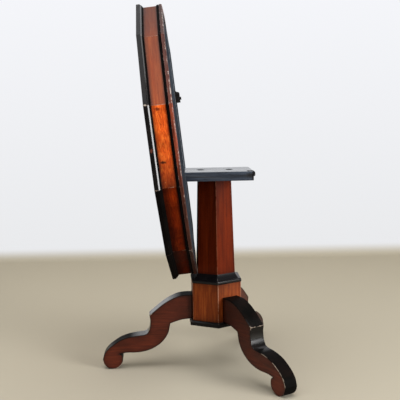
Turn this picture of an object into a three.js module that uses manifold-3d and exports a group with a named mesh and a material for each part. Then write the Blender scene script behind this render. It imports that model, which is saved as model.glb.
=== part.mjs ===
import * as THREE from "three";
import { mergeVertices } from "three/addons/utils/BufferGeometryUtils.js";
import Module from "manifold-3d";

const wasm = await Module();
wasm.setup();

// A tilt-top pedestal table on three scroll legs, stored with its twelve-sided top tilted up.
// Millimetres, +Z up. The top is modelled closed, over the column, and then turned about its pivot pins.

// Fits and cuts
const clearance = 0.3;
const overrun = 5;
const sideClearance = 0.8;

// Heights that everything hangs from
const blockTopHeight = 700;
const topRise = 54;

// Tilt block
const blockLength = 268;
const blockWidth = 242;
const blockThickness = 30.6;
const blockPivotOverhang = 20;
const blockCornerRadius = 9;
const pivotToAxis = 117.5;
const pinRadius = 6;
const pinGrip = 32;

// Screws that hold the block on the column
const blockScrewSpacing = 100;
const blockScrewShift = 3;
const blockCounterboreRadius = 12;
const blockCounterboreDepth = 13;
const blockScrew = { headRadius: 8.5, headHeight: 5, shankRadius: 4, length: 84 };

// Iron nosing on the near corner of the block's free end
const bumperWidth = 46;
const bumperFlange = 20;
const bumperFlangeThickness = 3;
const bumperProud = 5;
const bumperDrop = 17;
const bumperInset = 8;
const bumperScrewSpacing = 26;

// Column, collar, plinth and base moulding: hexagons, measured to a corner.
// They stand turned a little on the block, as found.
const baseTurn = Math.PI / 60;
const columnTopRadius = 65.8;
const columnFootRadius = 75.6;
const tenonRadius = 26;
const tenonLength = 72;
const collarHeight = 32;
const collarRadius = 100.4;
const collarFootRadius = 96.5;
const collarLipRadius = 88.5;
const plinthRadius = 97.9;
const plinthAboveLegs = 46.6;
const baseMouldingRadius = 109.5;
const baseMouldingHeight = 17;
const baseMouldingDrop = 4;
const basePlateRadius = 86;
const basePlateThickness = 3;
const basePlateScrewCircle = 58;

// Legs
const legReach = 407;
const legShoulder = 261;
const legToeThickness = 49;
const legRootThickness = 61.5;
const legRootShare = 0.675;
const legRootRise = 1.2;
const scrollRadius = 35.5;
const scrollNotchRadius = 18;
const dovetailNeck = 15;
const dovetailWidth = 23;
const dovetailDepth = 20;
const dovetailShoulder = 10;

// Top board, its mouldings and its apron, measured to the flats
const topAcrossFlats = 917;
const topSides = 12;
const boardThickness = 12.6;
const boardEdgeBevel = 1.6;
const apronInset = 12;
const apronThickness = 20;
const rimDepth = 83.5;
const lipHeight = 10.5;
const lipInset = 7.5;
const lipBevel = 2.2;
const beadHeight = 8;
const beadProud = 3.6;
const ovoloHeight = 9.6;
const ovoloWidth = 10;
const ovoloShoulderOut = 7.6;
const ovoloShoulderDrop = 3.9;
const mitreGap = 0.4;

// Bearers and cross rails under the board
const bearerThickness = 24;
const bearerDrop = 3.2;
const bearerTaperLength = 90;
const bearerTaperRise = 5;
const bearerScrewInset = 76;
const bearerCounterboreDepth = 38;
const railHousing = 6;
const seatRailWidth = 28;
const seatRailFromPivot = 25;
const seatRailSpacing = 162;
const catchRailWidth = 24;
const catchRailFromBlock = 15;
const catchRailRise = 2;

// Sliding catch
const caseWidth = 30;
const caseHeight = 16;
const caseLength = 36;
const caseFlangeWidth = 62;
const caseFlangeTail = 9;
const caseFlangeThickness = 3;
const caseRoof = 2;
const caseEndWall = 3;
const caseFromBlock = 1.2;
const caseScrewSpacingX = 16;
const caseScrewSpacingY = 47;
const boltLength = 26;
const boltThickness = 8;
const boltWidth = 15;
const boltSetBack = 1;
const knobRadius = 5.5;
const knobHeight = 4;
const knobNeckRadius = 2.6;
const knobFromMouth = 14;
const strikeLength = 34;
const strikeWidth = 50;
const strikeThickness = 3.4;
const strikeSetBack = 1.5;
const strikeScrewSpacing = 32;

// Small screws
const bearerScrew = { headRadius: 5, headHeight: 3.2, shankRadius: 2.3, length: 44 };
const plateScrew = { headRadius: 4, headHeight: 1.6, shankRadius: 1.9, length: 16 };
const legPlateScrew = { headRadius: 5, headHeight: 2, shankRadius: 2.4, length: 24 };

// Leg outline between the root and the scroll, as shares of its reach and of its shoulder height
const legTopShares = [
  [0.3141, 0.992],
  [0.3959, 0.946],
  [0.4665, 0.881],
  [0.5312, 0.801],
  [0.5872, 0.73],
];
const legAnkleShares = [
  [0.5872, 0.73],
  [0.5796, 0.662],
  [0.5817, 0.595],
  [0.5907, 0.53],
  [0.6089, 0.484],
  [0.6362, 0.463],
];
const legToeShares = [
  [0.6362, 0.463],
  [0.7069, 0.452],
  [0.7725, 0.434],
  [0.8382, 0.4],
  [0.893, 0.35],
  [0.945, 0.29],
  [0.983, 0.218],
];
const legSoleShares = [
  [0.7867, 0.222],
  [0.715, 0.22],
  [0.6433, 0.231],
  [0.5685, 0.267],
  [0.5029, 0.328],
  [0.4544, 0.404],
  [0.4251, 0.487],
  [0.4125, 0.56],
  [0.4054, 0.613],
];
const legSpandrelShares = [
  [0.4054, 0.613],
  [0.3514, 0.64],
  [0.2999, 0.661],
];

// Shares of the column's foot radius, and of the collar's height, that shape the collar
const collarHollowShares = [
  [0.2, 0.93],
  [0.45, 0.76],
  [0.78, 0.6],
];
const beadHeightShare = 0.42;

// Plain finishes of the real pieces
const finishes = {
  ebonised: new THREE.MeshStandardMaterial({ color: 0x1d1b1a, roughness: 0.38, metalness: 0 }),
  veneer: new THREE.MeshStandardMaterial({ color: 0x8f3f1c, roughness: 0.35, metalness: 0 }),
  darkVeneer: new THREE.MeshStandardMaterial({ color: 0x6a2e1a, roughness: 0.36, metalness: 0 }),
  legWood: new THREE.MeshStandardMaterial({ color: 0x4a2116, roughness: 0.4, metalness: 0 }),
  stainedWood: new THREE.MeshStandardMaterial({ color: 0x3a4148, roughness: 0.5, metalness: 0 }),
  iron: new THREE.MeshStandardMaterial({ color: 0x23242a, roughness: 0.5, metalness: 0.8 }),
};

// Places worked out from the sizes above
const apothemShare = Math.cos(Math.PI / 6);
const boardApothem = topAcrossFlats / 2;
const apronApothem = boardApothem - apronInset;
const lipApothem = boardApothem - lipInset;
const closedHeight = blockTopHeight + topRise;
const boardUnderside = closedHeight - boardThickness;
const rimUnderside = closedHeight - rimDepth;
const blockUnderside = blockTopHeight - blockThickness;
const bearerUnderside = blockUnderside - bearerDrop;
const pivotX = -pivotToAxis;
const pivotZ = blockTopHeight - blockThickness / 2;
const blockBackX = pivotX - blockPivotOverhang;
const blockFrontX = blockBackX + blockLength;
const legRootFoot = legRootShare * legShoulder;
const mouldingTop = legRootFoot - legRootRise;
const plinthFootHeight = mouldingTop - baseMouldingHeight + baseMouldingDrop;
const plinthTopHeight = legShoulder + plinthAboveLegs;
const columnFootHeight = plinthTopHeight + collarHeight;
const plinthApothem = plinthRadius * apothemShare;
const legFace = plinthApothem + clearance;
const bearerInner = blockWidth / 2 + sideClearance;
const bearerOuter = bearerInner + bearerThickness;
const bearerHalf = bearerReach();
const beadTop = plinthTopHeight + collarHeight * beadHeightShare;

// Half the length of a bearer, whose outer corners stop short of the apron's slanting boards.
function bearerReach() {
  const slant = (2 * Math.PI) / topSides;
  const inner = apronApothem - apronThickness;
  return (inner - bearerOuter * Math.sin(slant)) / Math.cos(slant) - clearance;
}

// How far the base and the left leg reach towards the tilted top, from the block down, as [x, height].
function restOutline() {
  const cornerShare = Math.cos(Math.PI / 6 - baseTurn);
  const out = (radius) => -radius * cornerShare - clearance;
  const legShares = [...legTopShares, ...legAnkleShares, ...legToeShares];
  return [
    [out(columnTopRadius), blockUnderside],
    [out(columnFootRadius), columnFootHeight],
    [out(collarRadius), beadTop],
    [out(collarRadius), plinthTopHeight],
    [out(plinthRadius), legShoulder + clearance],
    ...legShares.map(([reachShare, heightShare]) => [
      -reachShare * legReach - clearance,
      heightShare * legShoulder + clearance,
    ]),
  ];
}

// The rim of the closed top on the side that tips down, as [x, height].
function rimOutline() {
  return [
    [-boardApothem, closedHeight],
    [-boardApothem, boardUnderside],
    [-lipApothem, rimUnderside + lipBevel],
    [-lipApothem + lipBevel, rimUnderside],
    [-apronApothem + apronThickness, rimUnderside],
  ];
}

function cross([ax, az], [bx, bz], [cx, cz], [dx, dz]) {
  const side = (px, pz, qx, qz, rx, rz) => (qx - px) * (rz - pz) - (qz - pz) * (rx - px);
  const apart = side(ax, az, bx, bz, cx, cz) * side(ax, az, bx, bz, dx, dz);
  return apart < 0 && side(cx, cz, dx, dz, ax, az) * side(cx, cz, dx, dz, bx, bz) < 0;
}

function meets(angle) {
  const rest = restOutline();
  const rim = rimOutline().map(([x, z]) => {
    const dx = x - pivotX;
    const dz = z - pivotZ;
    return [
      pivotX + dx * Math.cos(angle) - dz * Math.sin(angle),
      pivotZ + dx * Math.sin(angle) + dz * Math.cos(angle),
    ];
  });
  return rim.some((end, i) => rest.some((foot, j) => i && j && cross(rim[i - 1], end, rest[j - 1], foot)));
}

// Angle of the top from closed to where its rim first rests on the base.
function openAngle() {
  const step = Math.PI / 180;
  let angle = step;
  while (angle < Math.PI && !meets(angle)) {
    angle += step;
  }
  let low = angle - step;
  let high = angle;
  for (let i = 0; i < 40; i += 1) {
    const middle = (low + high) / 2;
    if (meets(middle)) {
      high = middle;
    } else {
      low = middle;
    }
  }
  return low;
}

// Keeps a geometry's positions alone, with shared vertices merged.
function merged(geometry) {
  const bare = geometry.clone();
  bare.deleteAttribute("normal");
  bare.deleteAttribute("uv");
  return mergeVertices(bare);
}

function solidOf(geometry) {
  const bare = merged(geometry);
  return new wasm.Manifold(
    new wasm.Mesh({
      numProp: 3,
      vertProperties: new Float32Array(bare.attributes.position.array),
      triVerts: new Uint32Array(bare.index.array),
    }),
  );
}

function geometryOf(solid) {
  const mesh = solid.getMesh();
  const geometry = new THREE.BufferGeometry();
  geometry.setAttribute("position", new THREE.BufferAttribute(mesh.vertProperties, 3));
  geometry.setIndex(new THREE.BufferAttribute(mesh.triVerts, 1));
  geometry.computeVertexNormals();
  return geometry;
}

function cut(geometry, tools) {
  return geometryOf(tools.reduce((left, tool) => left.subtract(solidOf(tool)), solidOf(geometry)));
}

function join(geometry, others) {
  return geometryOf(others.reduce((left, other) => left.add(solidOf(other)), solidOf(geometry)));
}

function box(x0, x1, y0, y1, z0, z1) {
  const geometry = new THREE.BoxGeometry(x1 - x0, y1 - y0, z1 - z0);
  return geometry.translate((x0 + x1) / 2, (y0 + y1) / 2, (z0 + z1) / 2);
}

function uprightCylinder(radius, z0, z1, x = 0, y = 0, sides = 28) {
  const geometry = new THREE.CylinderGeometry(radius, radius, z1 - z0, sides);
  return geometry.rotateX(Math.PI / 2).translate(x, y, (z0 + z1) / 2);
}

function crossCylinder(radius, y0, y1, x, z, sides = 24) {
  return new THREE.CylinderGeometry(radius, radius, y1 - y0, sides).translate(x, (y0 + y1) / 2, z);
}

// Turns a profile of [radius, height] points about the Z axis, in flat sides.
// A corner points along -Y when turn is 0.
function turned(profile, sides, turn = 0) {
  const points = profile.map(([radius, height]) => new THREE.Vector2(radius, height));
  return new THREE.LatheGeometry(points, sides, turn).rotateX(Math.PI / 2);
}

// A hexagonal frustum with a corner towards -Y, by its corner radii.
function hexagonal(footRadius, topRadius, z0, z1) {
  const geometry = new THREE.CylinderGeometry(topRadius, footRadius, z1 - z0, 6);
  return geometry.rotateX(Math.PI / 2).translate(0, 0, (z0 + z1) / 2);
}

// Rings around the top keep a flat facing -Y: their profiles are given to the flats.
function topRing(profile) {
  const corner = 1 / Math.cos(Math.PI / topSides);
  const points = profile.map(([apothem, height]) => [apothem * corner, height]);
  return turned(points, topSides, Math.PI / topSides);
}

// Points along a smooth curve through the given [x, y] places, without the first.
function smooth(places, divisions) {
  const curve = new THREE.SplineCurve(places.map(([x, y]) => new THREE.Vector2(x, y)));
  return curve.getPoints(divisions).slice(1);
}

// Moves a geometry made along +Z so that it points along a direction from a place.
function aimed(geometry, place, direction) {
  const turn = new THREE.Quaternion();
  turn.setFromUnitVectors(new THREE.Vector3(0, 0, 1), new THREE.Vector3(...direction));
  return geometry.applyQuaternion(turn).translate(...place);
}

// A screw whose head is seated at a place and faces a direction.
function screwAt(screw, place, direction) {
  const { headRadius, headHeight, shankRadius, length } = screw;
  const profile = [
    [0, -length],
    [shankRadius / 2, -length + shankRadius],
    [shankRadius, -length + shankRadius * 2],
    [shankRadius, 0],
    [headRadius, 0],
    [headRadius, headHeight * 0.6],
    [headRadius * 0.7, headHeight],
    [0, headHeight],
  ];
  return aimed(turned(profile, 16), place, direction);
}

// The hole that takes such a screw, open above its head.
function screwHole(screw, place, direction, boreRadius, boreDepth) {
  const { shankRadius, length } = screw;
  const profile = [
    [0, -length - clearance],
    [shankRadius + clearance, -length - clearance],
    [shankRadius + clearance, -clearance],
    [boreRadius, -clearance],
    [boreRadius, boreDepth + overrun],
    [0, boreDepth + overrun],
  ];
  return aimed(turned(profile, 20), place, direction);
}

// The hole of a screw whose head lies sunk in the face.
function sunkHole(screw, place, direction) {
  return screwHole(screw, place, direction, screw.headRadius + clearance, screw.headHeight);
}

const opening = openAngle();
const table = new THREE.Group();
const head = new THREE.Group();
const base = new THREE.Group();
base.rotation.z = baseTurn;
table.add(head, base);

function add(group, name, geometry, finish) {
  const mesh = new THREE.Mesh(geometry, finishes[finish]);
  mesh.name = name;
  group.add(mesh);
  return mesh;
}

// Iron nosing over the block's free end: a flange let into the top, and a rounded nose.
function bumperPlaces() {
  const y0 = -blockWidth / 2 + bumperInset;
  return { y0, y1: y0 + bumperWidth, x0: blockFrontX - bumperFlange };
}

function bumperScrewPlaces() {
  const { y0, y1, x0 } = bumperPlaces();
  const middle = (y0 + y1) / 2;
  const z = blockTopHeight - plateScrew.headHeight;
  const x = (x0 + blockFrontX) / 2;
  return [-1, 1].map((side) => [x, middle + (side * bumperScrewSpacing) / 2, z]);
}

function makeBumper() {
  const { y0, y1, x0 } = bumperPlaces();
  const flange = new THREE.Shape();
  const foot = blockTopHeight - bumperFlangeThickness;
  const inner = blockFrontX + clearance;
  const noseFoot = blockTopHeight - bumperDrop;
  flange.moveTo(x0, foot);
  flange.lineTo(inner, foot);
  flange.lineTo(inner, noseFoot);
  flange.quadraticCurveTo(inner + bumperProud, noseFoot, inner + bumperProud, (foot + noseFoot) / 2);
  flange.quadraticCurveTo(inner + bumperProud, blockTopHeight, inner, blockTopHeight);
  flange.lineTo(x0, blockTopHeight);
  flange.closePath();
  const nose = new THREE.ExtrudeGeometry(flange, { depth: y1 - y0, bevelEnabled: false, curveSegments: 6 });
  nose.rotateX(Math.PI / 2).translate(0, y1, 0);
  const holes = bumperScrewPlaces().map((place) => sunkHole(plateScrew, place, [0, 0, 1]));
  return cut(nose, holes);
}

function blockScrewPlaces() {
  const z = blockTopHeight - blockCounterboreDepth;
  return [-1, 1].map((side) => [blockScrewShift + (side * blockScrewSpacing) / 2, 0, z]);
}

function blockScrewHoles() {
  return blockScrewPlaces().map((place) =>
    screwHole(blockScrew, place, [0, 0, 1], blockCounterboreRadius, blockCounterboreDepth),
  );
}

function strikePlaces() {
  const x1 = blockFrontX - strikeSetBack;
  const x0 = x1 - strikeLength;
  const z = blockUnderside - clearance - strikeThickness + plateScrew.headHeight;
  const screws = [-1, 1].map((side) => [(x0 + x1) / 2, (side * strikeScrewSpacing) / 2, z]);
  return { x0, x1, screws };
}

function strikeHoles() {
  return strikePlaces().screws.map((place) => sunkHole(plateScrew, place, [0, 0, -1]));
}

function makeBlock() {
  const half = blockWidth / 2;
  const round = blockCornerRadius;
  const outline = new THREE.Shape();
  outline.moveTo(blockBackX, -half);
  outline.lineTo(blockFrontX - round, -half);
  outline.quadraticCurveTo(blockFrontX, -half, blockFrontX, -half + round);
  outline.lineTo(blockFrontX, half - round);
  outline.quadraticCurveTo(blockFrontX, half, blockFrontX - round, half);
  outline.lineTo(blockBackX, half);
  outline.closePath();
  const slab = new THREE.ExtrudeGeometry(outline, {
    depth: blockThickness,
    bevelEnabled: false,
    curveSegments: 6,
  });
  slab.translate(0, 0, blockUnderside);
  const { y0, y1, x0 } = bumperPlaces();
  const recess = box(
    x0 - clearance,
    blockFrontX + overrun,
    y0 - clearance,
    y1 + clearance,
    blockTopHeight - bumperFlangeThickness - clearance,
    blockTopHeight + overrun,
  );
  const bumperHoles = bumperScrewPlaces().map((place) =>
    screwHole(plateScrew, place, [0, 0, 1], plateScrew.shankRadius + clearance, plateScrew.headHeight),
  );
  const pinBore = pinRadius + clearance;
  const grip = half - pinGrip - clearance;
  const bores = [
    crossCylinder(pinBore, -half - overrun, -grip, pivotX, pivotZ),
    crossCylinder(pinBore, grip, half + overrun, pivotX, pivotZ),
  ];
  return cut(slab, [recess, ...bumperHoles, ...bores, ...blockScrewHoles(), ...strikeHoles()]);
}

function makeStrike() {
  const { x0, x1 } = strikePlaces();
  const top = blockUnderside - clearance;
  const plate = box(x0, x1, -strikeWidth / 2, strikeWidth / 2, top - strikeThickness, top);
  return cut(plate, strikeHoles());
}

function makeColumn() {
  const shaft = hexagonal(columnFootRadius, columnTopRadius, columnFootHeight, blockUnderside);
  const tenon = uprightCylinder(tenonRadius, columnFootHeight - tenonLength, columnFootHeight + overrun);
  const screwHoles = blockScrewHoles().map((hole) => hole.rotateZ(-baseTurn));
  return cut(join(shaft, [tenon]), screwHoles);
}

function makeCollar() {
  const hollow = columnFootHeight - beadTop;
  const spread = collarLipRadius - columnFootRadius;
  const profile = [
    [0, plinthTopHeight],
    [collarFootRadius, plinthTopHeight],
  ];
  const beadMiddle = (plinthTopHeight + beadTop) / 2;
  const beadRise = beadTop - beadMiddle;
  const steps = 6;
  for (let i = 1; i < steps; i += 1) {
    const angle = -Math.PI / 2 + (Math.PI * i) / steps;
    const out = (collarRadius - collarFootRadius) * Math.cos(angle);
    profile.push([collarFootRadius + out, beadMiddle + beadRise * Math.sin(angle)]);
  }
  profile.push([collarFootRadius, beadTop]);
  profile.push([collarLipRadius, beadTop]);
  for (const [rise, share] of collarHollowShares) {
    profile.push([columnFootRadius + spread * (share - rise * share), beadTop + hollow * rise]);
  }
  profile.push([columnFootRadius + clearance, columnFootHeight]);
  profile.push([0, columnFootHeight]);
  const mortise = uprightCylinder(
    tenonRadius + clearance,
    plinthTopHeight - overrun,
    columnFootHeight + overrun,
  );
  return cut(turned(profile, 6), [mortise]);
}

// The tongue of a dovetail, along +X from the leg's face towards the plinth's middle.
function dovetail(gap, z0, z1) {
  const neck = dovetailNeck / 2 + gap;
  const wide = dovetailWidth / 2 + gap;
  const outline = new THREE.Shape();
  const inner = plinthApothem - dovetailDepth - gap;
  const outer = plinthApothem + overrun;
  outline.moveTo(inner, -wide);
  outline.lineTo(outer, -neck);
  outline.lineTo(outer, neck);
  outline.lineTo(inner, wide);
  outline.closePath();
  return new THREE.ExtrudeGeometry(outline, { depth: z1 - z0, bevelEnabled: false }).translate(0, 0, z0);
}

const legAngles = { leg_left: Math.PI, leg_front: -Math.PI / 3, leg_rear: Math.PI / 3 };
const tongueFoot = legRootFoot + dovetailShoulder;
const tongueTop = legShoulder - dovetailShoulder;

function basePlateScrewPlaces() {
  const z = plinthFootHeight - clearance - basePlateThickness + legPlateScrew.headHeight;
  return [0, 1, 2].map((i) => {
    const angle = (i * 2 * Math.PI) / 3;
    return [basePlateScrewCircle * Math.cos(angle), basePlateScrewCircle * Math.sin(angle), z];
  });
}

function basePlateHoles() {
  return basePlateScrewPlaces().map((place) => sunkHole(legPlateScrew, place, [0, 0, -1]));
}

function makePlinth() {
  const body = hexagonal(plinthRadius, plinthRadius, plinthFootHeight, plinthTopHeight);
  const mortise = uprightCylinder(
    tenonRadius + clearance,
    columnFootHeight - tenonLength - clearance,
    plinthTopHeight + overrun,
  );
  const sockets = Object.values(legAngles).map((angle) =>
    dovetail(clearance, plinthFootHeight - overrun, tongueTop + clearance).rotateZ(angle),
  );
  return cut(body, [mortise, ...sockets, ...basePlateHoles()]);
}

function makeBaseMoulding() {
  const foot = plinthFootHeight - baseMouldingDrop;
  const inner = plinthRadius + clearance / apothemShare;
  const round = baseMouldingHeight / 4;
  const profile = [
    [inner, foot],
    [baseMouldingRadius - round, foot],
    [baseMouldingRadius, foot + round],
    [baseMouldingRadius, mouldingTop - round * 1.5],
    [baseMouldingRadius - round / 2, mouldingTop - round / 2],
    [baseMouldingRadius - round * 1.5, mouldingTop],
    [inner, mouldingTop],
    [inner, foot],
  ];
  return turned(profile, 6);
}

function makeBasePlate() {
  const top = plinthFootHeight - clearance;
  const plate = hexagonal(basePlateRadius, basePlateRadius, top - basePlateThickness, top);
  return cut(plate, basePlateHoles());
}

function makeLeg(angle) {
  const at = ([reachShare, heightShare]) => [reachShare * legReach, heightShare * legShoulder];
  const places = (shares) => shares.map(at);
  const scrollX = legReach - scrollRadius;
  const outline = new THREE.Shape();
  outline.moveTo(legFace, legShoulder);
  const top = [[legFace, legShoulder], ...places(legTopShares)];
  const toe = [...places(legToeShares), [legReach, scrollRadius]];
  const notch = [scrollX - scrollRadius + scrollNotchRadius * 0.75, scrollRadius + scrollNotchRadius];
  const sole = [notch, ...places(legSoleShares)];
  const spandrel = [...places(legSpandrelShares), [legFace, legRootFoot]];
  const run = [...smooth(top, 16), ...smooth(places(legAnkleShares), 14), ...smooth(toe, 22)];
  run.forEach((point) => outline.lineTo(point.x, point.y));
  outline.absarc(scrollX, scrollRadius, scrollRadius, 0, -Math.PI, true);
  outline.quadraticCurveTo(scrollX - scrollRadius, notch[1], ...notch);
  const back = [...smooth(sole, 24), ...smooth(spandrel, 6)];
  back.forEach((point) => outline.lineTo(point.x, point.y));
  outline.closePath();
  const slab = new THREE.ExtrudeGeometry(outline, {
    depth: legToeThickness,
    bevelEnabled: false,
    curveSegments: 18,
  });
  slab.translate(0, 0, -legToeThickness / 2);
  // Its flat sides draw in evenly from the root to the toe
  const gain = legRootThickness / legToeThickness - 1;
  const corners = slab.attributes.position;
  for (let i = 0; i < corners.count; i += 1) {
    const inward = (legReach - corners.getX(i)) / (legReach - legFace);
    corners.setZ(i, corners.getZ(i) * (1 + gain * inward));
  }
  slab.rotateX(Math.PI / 2);
  const tongue = dovetail(0, tongueFoot, tongueTop);
  return join(slab, [tongue]).rotateZ(angle);
}

// Block on the column's head, with its fittings
add(head, "tilt_block", makeBlock(), "stainedWood");
add(head, "end_bumper", makeBumper(), "iron");
bumperScrewPlaces().forEach((place, i) =>
  add(head, "bumper_screw_" + (i + 1), screwAt(plateScrew, place, [0, 0, 1]), "iron"),
);
add(head, "strike_plate", makeStrike(), "iron");
strikePlaces().screws.forEach((place, i) =>
  add(head, "strike_screw_" + (i + 1), screwAt(plateScrew, place, [0, 0, -1]), "iron"),
);
blockScrewPlaces().forEach((place, i) =>
  add(head, "block_screw_" + (i + 1), screwAt(blockScrew, place, [0, 0, 1]), "iron"),
);

// Base: column, plinth and legs
add(base, "column", makeColumn(), "darkVeneer");
add(base, "collar", makeCollar(), "ebonised");
add(base, "plinth", makePlinth(), "veneer");
add(base, "base_moulding", makeBaseMoulding(), "ebonised");
add(base, "base_plate", makeBasePlate(), "iron");
basePlateScrewPlaces().forEach((place, i) =>
  add(base, "base_plate_screw_" + (i + 1), screwAt(legPlateScrew, place, [0, 0, -1]), "iron"),
);
for (const [name, angle] of Object.entries(legAngles)) {
  add(base, name, makeLeg(angle), "legWood");
}

// Cuts from the outline of one side board of the apron, mitred at both ends.
function makeApronBoard(index) {
  const top = boardUnderside - clearance;
  const step = rimUnderside + lipHeight;
  const profile = [
    [apronApothem, top],
    [apronApothem, step],
    [lipApothem, step],
    [lipApothem, rimUnderside + lipBevel],
    [lipApothem - lipBevel, rimUnderside],
    [apronApothem - apronThickness, rimUnderside],
    [apronApothem - apronThickness, top],
  ];
  const slope = Math.tan(Math.PI / topSides);
  const count = profile.length;
  const positions = [];
  for (const side of [-1, 1]) {
    for (const [apothem, height] of profile) {
      positions.push(apothem, side * (apothem * slope - mitreGap / 2), height);
    }
  }
  const outline = profile.map(([apothem, height]) => new THREE.Vector2(apothem, height));
  const indices = [];
  for (const [a, b, c] of THREE.ShapeUtils.triangulateShape(outline, [])) {
    indices.push(a, b, c);
    indices.push(count + a, count + c, count + b);
  }
  for (let i = 0; i < count; i += 1) {
    const next = (i + 1) % count;
    indices.push(i, next, count + i);
    indices.push(next, count + next, count + i);
  }
  const geometry = new THREE.BufferGeometry();
  geometry.setAttribute("position", new THREE.Float32BufferAttribute(positions, 3));
  geometry.setIndex(indices);
  geometry.rotateZ((index * 2 * Math.PI) / topSides);
  geometry.computeVertexNormals();
  return geometry;
}

function makeBoard() {
  const profile = [
    [0, boardUnderside],
    [boardApothem - boardEdgeBevel, boardUnderside],
    [boardApothem, boardUnderside + boardEdgeBevel],
    [boardApothem, closedHeight - boardEdgeBevel / 2],
    [boardApothem - boardEdgeBevel / 2, closedHeight],
    [0, closedHeight],
  ];
  return cut(topRing(profile), bearerScrewHoles());
}

// An ovolo in the corner between the board and the apron.
function makeEdgeMoulding() {
  const top = boardUnderside - clearance;
  const inner = apronApothem + clearance;
  const foot = top - ovoloHeight;
  const eased = ovoloShoulderDrop / 4;
  const profile = [
    [inner, foot],
    [inner + eased, foot],
    [inner + ovoloShoulderOut - eased, top - ovoloShoulderDrop - eased],
    [inner + ovoloShoulderOut, top - ovoloShoulderDrop],
    [inner + ovoloWidth, top],
    [inner, top],
    [inner, foot],
  ];
  return topRing(profile);
}

// A half-round bead on the apron's face, above the lip.
function makeRimBead() {
  const foot = rimUnderside + lipHeight + clearance;
  const inner = apronApothem + clearance;
  const profile = [[inner, foot]];
  const steps = 6;
  for (let i = 1; i < steps; i += 1) {
    const angle = (Math.PI * i) / steps;
    const height = foot + (beadHeight * (1 - Math.cos(angle))) / 2;
    profile.push([inner + beadProud * Math.sin(angle), height]);
  }
  profile.push([inner, foot + beadHeight], [inner, foot]);
  return topRing(profile);
}

const bearerSides = { front: -1, rear: 1 };
const bearerMiddle = (bearerInner + bearerOuter) / 2;

function bearerScrewPlaces(side) {
  const z = bearerUnderside + bearerCounterboreDepth;
  return [-1, 0, 1].map((i) => [i * (bearerHalf - bearerScrewInset), side * bearerMiddle, z]);
}

function bearerScrewHoles() {
  return Object.values(bearerSides).flatMap((side) =>
    bearerScrewPlaces(side).map((place) =>
      screwHole(bearerScrew, place, [0, 0, -1], bearerScrew.headRadius + clearance, bearerCounterboreDepth),
    ),
  );
}

// Cross rails between the bearers: two that come down on the block, and one that carries the catch.
const railFoot = blockTopHeight + clearance;
const seatRailX = pivotX + seatRailFromPivot;
const catchRailX = blockFrontX + catchRailFromBlock;
const railSpecs = {
  seat_rail_back: { x: seatRailX, width: seatRailWidth, foot: railFoot },
  seat_rail_fore: { x: seatRailX + seatRailSpacing, width: seatRailWidth, foot: railFoot },
  catch_rail: { x: catchRailX, width: catchRailWidth, foot: bearerUnderside + catchRailRise },
};

function makeRail({ x, width, foot }, gap = 0) {
  const half = bearerInner + railHousing + gap;
  return box(x - gap, x + width + gap, -half, half, foot - gap, boardUnderside - clearance + gap);
}

function makeBearer(side) {
  const half = bearerHalf;
  const y0 = Math.min(side * bearerInner, side * bearerOuter);
  const outline = new THREE.Shape();
  outline.moveTo(-half, boardUnderside - clearance);
  outline.lineTo(-half, bearerUnderside + bearerTaperRise);
  outline.lineTo(-half + bearerTaperLength, bearerUnderside);
  outline.lineTo(half - bearerTaperLength, bearerUnderside);
  outline.lineTo(half, bearerUnderside + bearerTaperRise);
  outline.lineTo(half, boardUnderside - clearance);
  outline.closePath();
  const beam = new THREE.ExtrudeGeometry(outline, { depth: bearerThickness, bevelEnabled: false });
  beam.rotateX(Math.PI / 2).translate(0, y0 + bearerThickness, 0);
  const housings = Object.values(railSpecs).map((spec) => makeRail(spec, clearance));
  const bore = crossCylinder(
    pinRadius + clearance,
    y0 - overrun,
    y0 + bearerThickness + overrun,
    pivotX,
    pivotZ,
  );
  return cut(beam, [...housings, bore, ...bearerScrewHoles()]);
}

function makePin(side) {
  const inner = blockWidth / 2 - pinGrip;
  const ends = [side * inner, side * bearerOuter].sort((a, b) => a - b);
  return crossCylinder(pinRadius, ends[0], ends[1], pivotX, pivotZ);
}

// Catch: a case under the catch rail, with a bolt that slides under the block.
const caseTop = bearerUnderside + catchRailRise - clearance;
const caseFoot = caseTop - caseHeight;
const caseMouth = blockFrontX + caseFromBlock;
const boltTop = caseTop - caseRoof - clearance;
const boltX = caseMouth + boltSetBack;
const knobX = caseMouth + knobFromMouth;

function caseScrewPlaces() {
  const z = caseTop - caseFlangeThickness + plateScrew.headHeight;
  const middle = catchRailX + catchRailWidth / 2;
  const places = [];
  for (const i of [-1, 1]) {
    for (const j of [-1, 1]) {
      places.push([middle + (i * caseScrewSpacingX) / 2, (j * caseScrewSpacingY) / 2, z]);
    }
  }
  return places;
}

function caseHoles() {
  return caseScrewPlaces().map((place) => sunkHole(plateScrew, place, [0, 0, -1]));
}

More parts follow.
